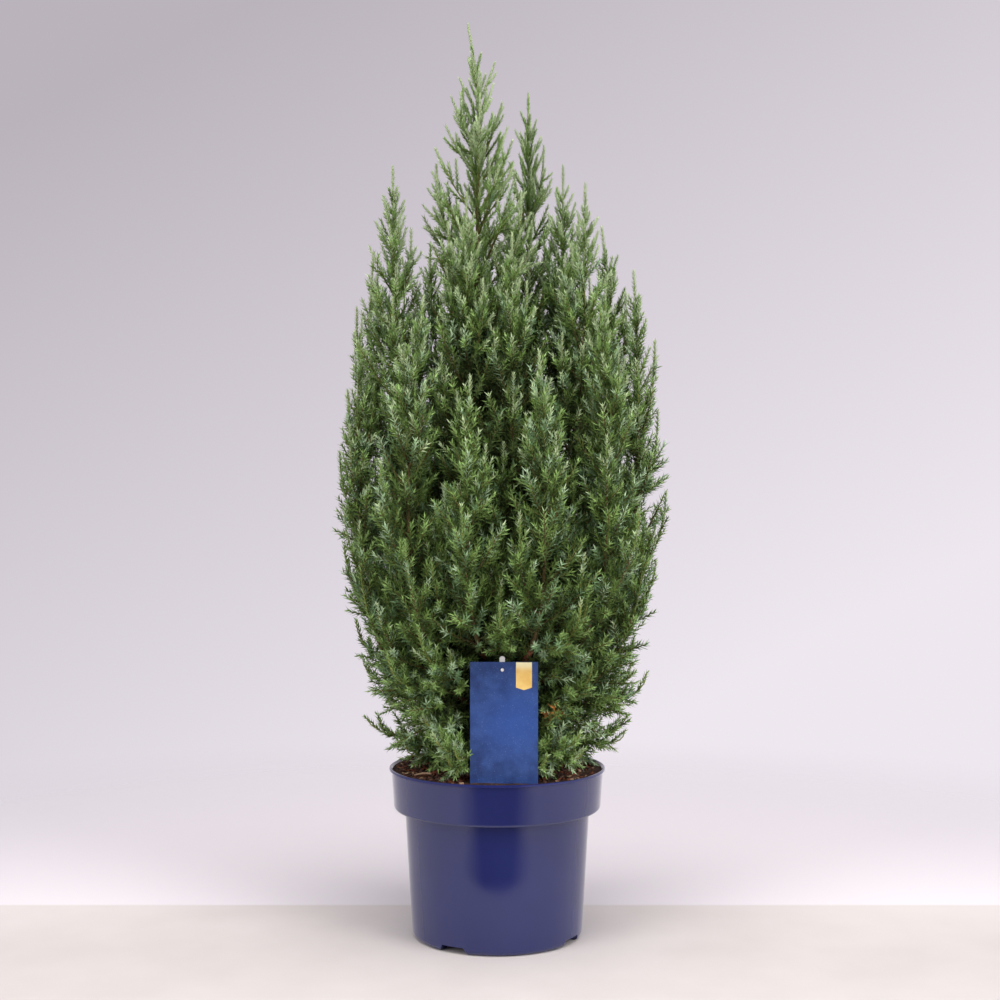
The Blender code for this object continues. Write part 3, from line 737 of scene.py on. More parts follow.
@dataclass
class Soil(Assembly):
    """The plug of peat in the pot, with bark chips and a dry twig on top."""

    top_z: float = 0.1734
    edge_radius: float = 0.1094
    side: tuple[Pair, ...] = (
        (0.1083, 0.1720), (0.1058, 0.1386), (0.0936, 0.1362), (0.0862, 0.0135), (0.0826, 0.0105),
    )
    bump: float = 0.0015
    bump_shares: Pair = (0.75, 0.45)
    noise_scales: tuple[Pair, Pair] = ((28, 0.0), (190, 4.0))
    flat_edge: float = 0.004
    flat_middle: Pair = (0.016, 0.012)
    chips: int = 1500
    chip_shares: tuple[float, ...] = (0.50, 0.38, 0.12)
    chips_from: float = 0.018
    chip_length: Pair = (0.0022, 0.0070)
    card_x: float = 0.0068
    card_room: Pair = (0.040, -0.080)
    twig_ends: tuple[Point, Point] = ((-0.084, -0.050, 0.1740), (-0.066, -0.062, 0.1775))
    twig_arch: float = 0.0012
    twig_radius: float = 0.0011
    seed: int = 11

    def height_at(self, x: float, y: float) -> float:
        """The soil's height at a place, gently uneven and finely crumbled."""
        swell, crumb = (noise.noise(Vector((x * scale, y * scale, z))) for scale, z in self.noise_scales)
        return self.top_z + self.bump * (self.bump_shares[0] * swell + self.bump_shares[1] * crumb)

    def build_plug(self) -> None:
        """The plug: rings inside the pot's wall and a crumbled top."""
        tops = [(r, self.top_z) for r in np.linspace(0.004, self.edge_radius, 30)]
        plug = TurnedForm((*tops, *self.side), 90).build("peat_soil")
        for vertex in plug.data.vertices:
            if vertex.co.z > self.top_z - 1e-5:
                x, y = vertex.co.x, vertex.co.y
                radius = math.hypot(x, y)
                edge = min(1.0, (self.edge_radius - radius) / self.flat_edge)
                foot = min(1.0, max(0.0, (radius - self.flat_middle[0]) / self.flat_middle[1]))
                vertex.co.z += (self.height_at(x, y) - self.top_z) * edge * foot
        smooth(plug, 50)
        self.dress(plug, SOIL_FINISH, "soil", ("soil",))

    def build_chips(self) -> None:
        """Flat irregular chips of bark, strewn on the peat in three colours."""
        rng = np.random.default_rng(self.seed)
        corners = np.array([(x, y, z) for z in (-1, 1) for y in (-1, 1) for x in (-1, 1)], float)
        quads = ((0, 2, 3, 1), (4, 5, 7, 6), (0, 1, 5, 4), (2, 6, 7, 3), (0, 4, 6, 2), (1, 3, 7, 5))
        sides = np.array([t for a, b, c, d in quads for t in ((a, b, c), (a, c, d))])
        least, most = self.chips_from ** 2, (self.edge_radius - self.flat_edge) ** 2
        radius = np.sqrt(rng.uniform(least, most, self.chips))
        turn = rng.uniform(0, 2 * math.pi, self.chips)
        middle = np.stack([radius * np.cos(turn), radius * np.sin(turn)], axis=1)
        kinds = rng.choice(3, self.chips, p=self.chip_shares)
        by_card = np.abs(middle[:, 0] - self.card_x) < self.card_room[0]
        at_card = by_card & (middle[:, 1] < self.card_room[1])
        for kind, finish in enumerate(CHIP_FINISHES):
            chosen = np.flatnonzero((kinds == kind) & ~at_card)
            points = []
            for i in chosen:
                length = rng.uniform(*self.chip_length)
                size = np.array((length, length * rng.uniform(0.3, 0.7), length * rng.uniform(0.12, 0.3))) / 2
                shape = corners * size * rng.uniform(0.7, 1.15, (8, 3))
                angles = (rng.uniform(0, 2 * math.pi), rng.normal(0, 0.35), rng.normal(0, 0.3))
                turns = [Matrix.Rotation(angle, 3, axis) for angle, axis in zip(angles, "ZXY")]
                tilt = turns[0] @ turns[1] @ turns[2]
                x, y = middle[i]
                centre = np.array((x, y, self.height_at(x, y) + size[2] * 0.7))
                points.append(shape @ np.array(tilt).T + centre)
            faces = repeated(sides, len(chosen), len(corners))
            self.dress(mesh_from_arrays(f"bark_{finish.name}", np.concatenate(points), faces), finish, "soil")

    def build_dry_twig(self) -> None:
        """A pale bit of twig that lies by the rim on the left."""
        start, end = np.array(self.twig_ends)
        t = np.linspace(0, 1, 8)[:, None]
        path = start + (end - start) * t + UP * self.twig_arch * np.sin(math.pi * t)
        twig = mesh_from_arrays("dry_twig", *Tubes(6).build(path[None], np.full((1, 8), self.twig_radius)))
        self.dress(twig, CHIP_FINISHES[2], "soil")

    def build(self) -> None:
        """Build the plug, the chips and the dry twig."""
        self.build_plug()
        self.build_chips()
        self.build_dry_twig()


@dataclass
class Label(Assembly):
    """The bare card on its peg: a CAD node with a print finish, and a plain gold pennant."""

    face_y: float = -0.0925 - 0.00045
    pennant_x: float = 0.0265
    pennant_width: float = 0.0158
    pennant_top_z: float = 0.2934
    pennant_height: float = 0.0250
    pennant_point: float = 0.0026
    pennant_thickness: float = 0.00024
    pin_x: float = 0.0050
    pin_z: float = 0.2858
    pin_radius: float = 0.0016
    pin_head: float = 0.0006
    stake_y: float = -0.09095
    stake_width: float = 0.0054
    stake_thickness: float = 0.0016
    stake_top_z: float = 0.2994
    stake_foot_z: float = 0.1215
    stake_round: float = 0.48
    stake_edge: float = 0.00022

    def build_pennant(self) -> None:
        """A thin foil patch near the card's top right, with a shallow point below."""
        middle_z = self.pennant_top_z - self.pennant_height / 2
        size = (self.pennant_width, self.pennant_thickness, self.pennant_height)
        pennant = block("gold_pennant", size, (self.pennant_x, self.face_y, middle_z))
        bpy.ops.object.mode_set(mode="EDIT")
        bpy.ops.mesh.select_all(action="SELECT")
        bpy.ops.mesh.bisect(plane_co=(self.pennant_x, 0, 0), plane_no=(1, 0, 0))
        bpy.ops.object.mode_set(mode="OBJECT")
        for vertex in pennant.data.vertices:
            if vertex.co.z < middle_z and abs(vertex.co.x - self.pennant_x) < 1e-6:
                vertex.co.z -= self.pennant_point
        self.dress(pennant, FOIL_FINISH, "label_card")

    def build_stake(self) -> None:
        """The peg behind the card: a strip with a round top, and the pin that holds the card."""
        tall = self.stake_top_z - self.stake_foot_z
        size = (self.stake_width, self.stake_thickness, tall)
        stake = block("peg_strip", size, (self.pin_x, self.stake_y, self.stake_top_z - tall / 2))
        bpy.ops.object.mode_set(mode="EDIT")
        bpy.ops.mesh.select_mode(type="EDGE")
        bpy.ops.mesh.select_all(action="DESELECT")
        bpy.ops.object.mode_set(mode="OBJECT")
        for edge in stake.data.edges:
            one, other = (stake.data.vertices[i].co for i in edge.vertices)
            edge.select = min(one.z, other.z) > self.stake_top_z - 1e-5 and abs(one.x - other.x) < 1e-5
        bpy.ops.object.mode_set(mode="EDIT")
        bpy.ops.mesh.bevel(offset=self.stake_width * self.stake_round, segments=6, affect="EDGES")
        deselect_all()
        front, back = self.face_y - self.pin_head, self.stake_y + self.stake_thickness / 2
        bpy.ops.mesh.primitive_cylinder_add(
            vertices=20, radius=self.pin_radius, depth=back - front, end_fill_type="NGON",
            location=(self.pin_x, (front + back) / 2, self.pin_z), rotation=(math.radians(90), 0, 0),
        )
        apply_place(bpy.context.object)
        stake.select_set(True)
        bpy.context.view_layer.objects.active = stake
        bpy.ops.object.join()
        soft = stake.modifiers.new("edges", "BEVEL")
        soft.width, soft.segments = self.stake_edge, 2
        soft.limit_method, soft.angle_limit = "ANGLE", math.radians(50)
        apply_modifiers(stake)
        smooth(stake, 35)
        self.dress(stake, STAKE_FINISH, "label_stake", ("label_stake",))

    def build(self) -> None:
        """Dress the card, set the peg behind it and lay the pennant on it."""
        card = frame["nodes"]["label_card"]
        card.data.materials.clear()
        card.data.materials.append(CARD_FINISH.material(self.effects))
        LOG.info("label_card: dressed")
        self.build_stake()
        self.build_pennant()


@dataclass(frozen=True)
class Tubes:
    """Many tapering stems at once, each closed at both ends."""

    sides: int

    def build(self, paths: np.ndarray, radii: np.ndarray) -> tuple[np.ndarray, np.ndarray]:
        """Points and triangles of the stems.

        Args:
            paths: Stems by points by x, y, z.
            radii: Stems by points.

        Returns:
            The vertices and the triangles.
        """
        count, length, _ = paths.shape
        along = unit(np.gradient(paths, axis=1))
        lead = np.where(np.abs(along[:, :1, 2:]) > 0.9, np.array((1.0, 0, 0)), UP)
        across = unit(np.cross(along, lead))
        other = np.cross(along, across)
        turns = np.arange(self.sides) * 2 * math.pi / self.sides
        ring = across[:, :, None] * np.cos(turns)[:, None] + other[:, :, None] * np.sin(turns)[:, None]
        points = paths[:, :, None] + ring * radii[:, :, None, None]
        ends = np.stack([paths[:, 0], paths[:, -1]], axis=1)
        corners = np.concatenate([points.reshape(count, -1, 3), ends], axis=1)
        faces = []
        foot, tip = length * self.sides, length * self.sides + 1
        for j in range(self.sides):
            k = (j + 1) % self.sides
            for i in range(length - 1):
                a, b = i * self.sides + j, i * self.sides + k
                faces += [(a, b, b + self.sides), (a, b + self.sides, a + self.sides)]
            last = (length - 1) * self.sides
            faces += [(foot, k, j), (tip, last + j, last + k)]
        return corners.reshape(-1, 3), repeated(np.array(faces), count, corners.shape[1])


class Kind(Enum):
    """The kinds of foliage mass, from the top of the crown to its foot."""

    LEADER = "leader"
    INNER = "inner"
    OUTER = "outer"
    SKIRT = "skirt"
    LOW = "low"


@dataclass(frozen=True)
class Habit:
    """How one kind of mass grows: where its limb leaves the trunk and how it swings up."""

    attach: float
    attach_step: float
    enter: float
    bough: float
    width: float
    power: float
    least_swing: float
    near: tuple[float, float]
    far: tuple[float, float]


TRUNK_FORK_Z = 0.600
HABITS = {
    Kind.LEADER: Habit(TRUNK_FORK_Z, 0, 0, 0, 0.075, 0.90, 0, (0, 0), (0, 0)),
    Kind.INNER: Habit(0.314, 0.014, 0.388, 0.0036, 0.056, 0.78, 0, (0.75, 0.06), (1.00, 0.22)),
    Kind.OUTER: Habit(0.234, 0.016, 0.299, 0.0042, 0.047, 0.72, 0.147, (0.80, 0.05), (1.12, 0.22)),
    Kind.SKIRT: Habit(0.213, 0, 0, 0, 0.064, 0.62, 0, (0.50, 0.10), (1.04, 0.30)),
    Kind.LOW: Habit(0.190, 0, 0, 0, 0.066, 0.58, 0, (0.50, 0.15), (0.95, 0.40)),
}


@dataclass
class Plume:
    """One mass of foliage: its axis from the trunk to its tip, and its width."""

    name: str
    kind: Kind
    axis: np.ndarray
    start: float = 0.0
    leafy_from: float = 0.0

    @property
    def habit(self) -> Habit:
        """The habit of this kind of mass."""
        return HABITS[self.kind]

    @property
    def run(self) -> np.ndarray:
        """The distance along the axis at each of its points."""
        steps = np.linalg.norm(np.diff(self.axis, axis=0), axis=1)
        return np.concatenate(([0.0], np.cumsum(steps)))

    def evened(self, count: int) -> "Plume":
        """The same plume with its axis in even steps."""
        self.axis = self.at(np.linspace(0.0, self.run[-1], count))
        return self

    def at(self, places: np.ndarray) -> np.ndarray:
        """Points of the axis at distances along it."""
        return np.stack([np.interp(places, self.run, self.axis[:, k]) for k in range(3)], axis=-1)

    def heading(self, places: np.ndarray, step: float = 0.004) -> np.ndarray:
        """The axis's direction at distances along it."""
        return unit(self.at(places + step) - self.at(places - step))

    def half_width(self, places: np.ndarray, depth: float = 0.25) -> np.ndarray:
        """Half the foliage's width at distances along the axis."""
        below = (self.run[-1] - places) / depth
        return self.habit.width * np.clip(below, 0.002, 1.0) ** self.habit.power


@dataclass
class Shoots:
    """Many shoots as arrays, each one bending path with needles on it."""

    root: np.ndarray
    heading: np.ndarray
    bend: np.ndarray
    length: np.ndarray
    ripeness: np.ndarray
    lit: np.ndarray
    shade: np.ndarray

    def points(self, shares: np.ndarray) -> np.ndarray:
        """Points at shares of each shoot's length.

        Args:
            shares: One row of shares for each shoot, or one row for all.

        Returns:
            Shoots by shares by x, y, z.
        """
        run = shares * self.length[:, None]
        curve = self.bend[:, None] * (shares ** 2 * self.length[:, None])[:, :, None]
        return self.root[:, None] + self.heading[:, None] * run[:, :, None] + curve

    def tangents(self, shares: np.ndarray) -> np.ndarray:
        """Directions at shares of each shoot's length."""
        each = np.broadcast_to(shares, (len(self.length), shares.shape[-1]))
        return unit(self.heading[:, None] + 2 * self.bend[:, None] * each[:, :, None])

    def take(self, chosen: np.ndarray) -> "Shoots":
        """The chosen shoots only."""
        return Shoots(*(getattr(self, name)[chosen] for name in self.__dataclass_fields__))

    @staticmethod
    def joined(parts: Sequence["Shoots"]) -> "Shoots":
        """Several sets of shoots as one."""
        names = Shoots.__dataclass_fields__
        return Shoots(*(np.concatenate([getattr(part, name) for part in parts]) for name in names))


@dataclass
class Frame:
    """The sizes that the crown shares with the pot, the soil and the label."""

    soil_z: float = 0.166
    top_z: float = 0.9516
    leader_x: float = -0.0305
    lean_power: float = 1.3
    leader_bow: float = 0.009
    sway_x: float = 0.004
    sway_y: float = 0.003
    pot_height: float = 0.175
    lip_radius: float = 0.113
    inside_radius: float = 0.103
    card_x: float = 0.0068
    card_width: float = 0.0673
    card_top_z: float = 0.2985
    behind_card_y: float = -0.0882
    label_room: float = 0.010
    card_y: float = -0.0909
    soil_room: float = 0.009
    rim_room: float = 0.003
    card_margin: float = 0.001
    crown_outline: tuple[Pair, ...] = (
        (0.19, 0.117), (0.22, 0.133), (0.26, 0.148), (0.30, 0.153), (0.36, 0.160), (0.44, 0.172),
        (0.51, 0.166), (0.56, 0.160), (0.61, 0.158), (0.66, 0.152), (0.78, 0.128),
    )
    open_above_z: float = 0.66
    open_depth: float = 0.10
    shade_from: float = 0.37
    shade_depth: float = 0.28
    crown_x: float = 0.005

    def radius_at(self, z: np.ndarray) -> np.ndarray:
        """The crown's radius at heights."""
        heights, radii = zip(*self.crown_outline)
        return np.interp(z, heights, radii)

    def shade_at(self, points: np.ndarray) -> np.ndarray:
        """From 0 in the light to 1 deep inside the crown."""
        depth = 1 - np.hypot(points[..., 0] - self.crown_x, points[..., 1]) / self.radius_at(points[..., 2])
        closed = np.clip((self.open_above_z - points[..., 2]) / self.open_depth, 0, 1)
        return np.clip((depth - self.shade_from) / self.shade_depth, 0, 1) * closed

    def trunk_centre(self, z: np.ndarray | float) -> np.ndarray:
        """The trunk's middle at heights: a slight lean to the left with one soft bend.

        Args:
            z: The heights.

        Returns:
            One point for each.
        """
        share = (np.asarray(z, float) - self.soil_z) / (self.top_z - self.soil_z)
        lean = self.leader_x * np.maximum(share, 0) ** self.lean_power
        x = lean + self.sway_x * np.sin(math.pi * 2 * share)
        y = self.sway_y * np.sin(math.pi * 1.5 * share)
        return np.stack([x, y, np.asarray(z, float)], axis=-1)

    def room_behind_label(self, bearing: float) -> float:
        """How far a low limb may reach before it meets the card.

        Args:
            bearing: The limb's bearing in degrees.

        Returns:
            The reach.
        """
        heading = polar(1.0, bearing, 0)
        if heading[1] >= 0:
            return self.lip_radius * 2
        away = (self.card_y + self.label_room) / heading[1]
        in_the_way = abs(away * heading[0] - self.card_x) < self.card_width / 2 + self.label_room
        return away if in_the_way else self.lip_radius * 2

    def clear(self, points: np.ndarray, spare: np.ndarray | float = 0.0) -> np.ndarray:
        """True where a point is in the crown, above the soil, off the rim and off the label.

        Args:
            points: Any number of points.
            spare: How far each may stand out of the crown's outline, as a share of its radius.

        Returns:
            One truth value for each point.
        """
        radius = np.hypot(points[..., 0], points[..., 1])
        above_soil = points[..., 2] > self.soil_z + self.soil_room
        off_rim = (points[..., 2] > self.pot_height + self.rim_room) | (radius < self.inside_radius)
        beside = np.abs(points[..., 0] - self.card_x) > self.card_width / 2 + self.card_margin
        over = points[..., 2] > self.card_top_z + self.card_margin
        behind = points[..., 1] > self.behind_card_y
        outline = self.radius_at(points[..., 2]) * (1 + spare)
        inside = np.hypot(points[..., 0] - self.crown_x, points[..., 1]) < outline
        return above_soil & off_rim & (beside | over | behind) & inside


class Crown:
    """Every plume of the crown, and the space that each keeps to."""

    # Each mass: its tip's bearing in degrees, its distance from the pot's axis and its height in metres.
    INNER = (
        (339, 0.097, 0.777),
        (284, 0.062, 0.722),
        (238, 0.059, 0.765),
        (190, 0.110, 0.799),
        (136, 0.102, 0.735),
        (100, 0.080, 0.785),
        (61, 0.070, 0.897),
        (20, 0.075, 0.809),
    )
    OUTER = (
        (352, 0.143, 0.690),
        (322, 0.130, 0.650),
        (290, 0.120, 0.598),
        (258, 0.126, 0.572),
        (229, 0.112, 0.655),
        (193, 0.143, 0.640),
        (168, 0.135, 0.718),
        (138, 0.139, 0.680),
        (107, 0.134, 0.640),
        (75, 0.132, 0.670),
        (42, 0.138, 0.700),
        (15, 0.116, 0.745),
    )
    # The masses between the outer ones, all at one distance and height.
    SKIRT = (0.160, 0.430)
    LOW = (0.138, 0.226)
    FIRST_SIDE = {0: 137.5, 7: 0.0, 9: 350.0}
    # The trunk's upright branches: their tips' mean height and its swing, their rise and their reach.
    CORE_TOP = (0.530, 0.045)
    CORE_RISE = 0.20
    CORE_REACH = 0.090
    # The side branches of each mass: how many, and how far below its tip the first and the last end.
    SIDE_SPIRES = {Kind.LEADER: 7, Kind.INNER: 8, Kind.OUTER: 9, Kind.SKIRT: 7, Kind.LOW: 5}
    SIDE_BELOW = {
        Kind.LEADER: (0.050, 0.240), Kind.INNER: (0.045, 0.330), Kind.OUTER: (0.045, 0.330),
        Kind.SKIRT: (0.040, 0.240), Kind.LOW: (0.020, 0.100),
    }

    def __init__(self, sizes: Frame) -> None:
        """Lay out the plumes.

        Args:
            sizes: The sizes that the crown shares with the rest.
        """
        self.sizes = sizes
        self.plumes = [self.plume("leader_foliage", Kind.LEADER, 0, 0, sizes.top_z, 0)]
        for kind, places in ((Kind.INNER, self.INNER), (Kind.OUTER, self.OUTER)):
            for i, (bearing, reach, top) in enumerate(places):
                self.plumes.append(self.plume(f"{kind.value}_foliage_{i + 1}", kind, bearing, reach, top, i))
        for i, bearing in enumerate(self.between()):
            kind = Kind.SKIRT if i % 2 == 0 else Kind.LOW
            reach, top = self.SKIRT if kind is Kind.SKIRT else self.LOW
            reach = min(reach, sizes.room_behind_label(bearing))
            self.plumes.append(self.plume(f"{kind.value}_foliage_{i // 2 + 1}", kind, bearing, reach, top, i))
        self.axes = np.concatenate([plume.axis for plume in self.plumes])
        self.owners = np.concatenate([np.full(len(p.axis), i) for i, p in enumerate(self.plumes)])
        widths = [np.maximum(plume.half_width(plume.run), 0.010) for plume in self.plumes]
        before_start = [plume.run < plume.leafy_from - 1e-6 for plume in self.plumes]
        self.widths = np.where(np.concatenate(before_start), 1e-5, np.concatenate(widths))
        self.side_spires = [(spire, i) for i in range(len(self.plumes)) for spire in self.side_spires_of(i)]

    def between(self) -> list[float]:
        """The bearings midway between the outer plumes."""
        bearings = [bearing for bearing, _, _ in self.OUTER]
        pairs = zip(bearings, bearings[1:] + bearings[:1])
        return [before - (before - after) % 360 / 2 for before, after in pairs]

    def core_spires(self) -> list[Plume]:
        """The trunk's own upright branches, which close the crown between its outer plumes."""
        spires = []
        for i, bearing in enumerate(self.between()):
            top = self.CORE_TOP[0] + self.CORE_TOP[1] * math.sin(2.9 * i)
            root, tip = self.sizes.trunk_centre(top - self.CORE_RISE), polar(self.CORE_REACH, bearing, top)
            near, far = root + (tip - root) * (0.6, 0.6, 0.25), tip - UP * self.CORE_RISE * 0.45
            spire = Plume(f"core_side_{i + 1}", Kind.INNER, bezier(root, near, far, tip, 60)).evened(21)
            spire.leafy_from = spire.run[-1] * 0.35
            spires.append(spire)
        return spires

    def stems(self) -> list[tuple[Plume, int]]:
        """Every plume and side branch, with the number of the plume whose cell it keeps to."""
        core = [(spire, -1) for spire in self.core_spires()]
        return [(plume, i) for i, plume in enumerate(self.plumes)] + self.side_spires + core

    def side_spires_of(self, index: int) -> list[Plume]:
        """The upright side branches of a plume, each a small plume within the same mass.

        Args:
            index: The plume's number.

        Returns:
            The side branches, which end below the plume's own tip.
        """
        plume, spires = self.plumes[index], []
        total, count = plume.run[-1], self.SIDE_SPIRES[plume.kind]
        golden = math.degrees(GOLDEN_ANGLE)
        first = self.FIRST_SIDE.get(index, 1.3 * golden * index)
        for i in range(count):
            uneven = (0.5 + 0.38 * math.sin(5.1 * i + 2.3 * index)) / count
            least, most = self.SIDE_BELOW[plume.kind]
            below = least + (most - least) * (i / count + uneven)
            top = total - below
            foot = max(top - 0.06 - 0.05 * below / 0.19, plume.leafy_from)
            if top - foot < 0.03:
                continue
            offset = float(plume.half_width(np.array(top))) * 0.95
            root, head = plume.at(np.array(foot)), plume.at(np.array(top))
            for attempt in range(10):
                aside = polar(offset, first + golden * (i + 2.7 * attempt), 0)
                near = root + aside * 0.85 + UP * (top - foot) * 0.25
                path = bezier(root, near, head + aside - UP * (top - foot) * 0.4, head + aside, 60)
                outer = path[25:]
                own = self.own_cell(np.full(len(outer), index), outer, 0.35)
                if (own & self.sizes.clear(outer, 0.03)).all():
                    spires.append(Plume(f"{plume.name}_side_{i + 1}", plume.kind, path).evened(21))
                    break
        return spires

    def plume(self, name: str, kind: Kind, bearing: float, reach: float, top: float, number: int) -> Plume:
        """One plume with its axis and the place where its foliage begins.

        Args:
            name: The CAD node's name.
            kind: The kind of mass.
            bearing: The bearing of its tip in degrees.
            reach: The tip's distance from the pot's axis.
            top: The tip's height.
            number: Its number among its kind, which sets its height on the trunk.

        Returns:
            The plume.
        """
        habit = HABITS[kind]
        attach = habit.attach + habit.attach_step * (number % 4)
        if kind is Kind.LEADER:
            axis = self.sizes.trunk_centre(np.linspace(attach, top, 41))
            axis[:, 0] += self.sizes.leader_bow * np.sin(math.pi * np.linspace(0.0, 1.0, 41) ** 2.2)
            return Plume(name, kind, axis)
        rise, swing = top - attach, max(reach, habit.least_swing)
        near = polar(swing * habit.near[0], bearing, attach + rise * habit.near[1])
        far = polar(swing * habit.far[0], bearing, attach + rise * habit.far[1])
        foot, tip = self.sizes.trunk_centre(attach), polar(reach, bearing, top)
        plume = Plume(name, kind, bezier(foot, near, far, tip, 200)).evened(41)
        if habit.enter:
            entry = int(np.argmax(plume.axis[:, 2] >= habit.enter))
            plume.start = (plume.run[entry] + plume.run[entry + 1]) / 2
            plume.leafy_from = plume.start * 0.25
        else:
            plume.start = plume.leafy_from = 0.012
        return plume

    def own_cell(self, index: np.ndarray, points: np.ndarray, slack: float = 0.30) -> np.ndarray:
        """True where a point lies nearer to its own plume than to any other, by their widths.

        Args:
            index: The plume's number for each point, or -1 for the trunk, which keeps to no cell.
            points: One row for each point.
            slack: How far shoots of neighbours may mingle, as a share of a width.

        Returns:
            One truth value for each point.
        """
        inside = np.zeros(len(points), dtype=bool)
        for first in range(0, len(points), 4000):
            some = slice(first, first + 4000)
            away = np.linalg.norm(points[some, None] - self.axes[None], axis=2) / self.widths[None]
            own = np.where(self.owners[None] == index[some, None], away, np.inf).min(axis=1)
            inside[some] = (own <= away.min(axis=1) + slack) | (index[some] < 0)
        return inside


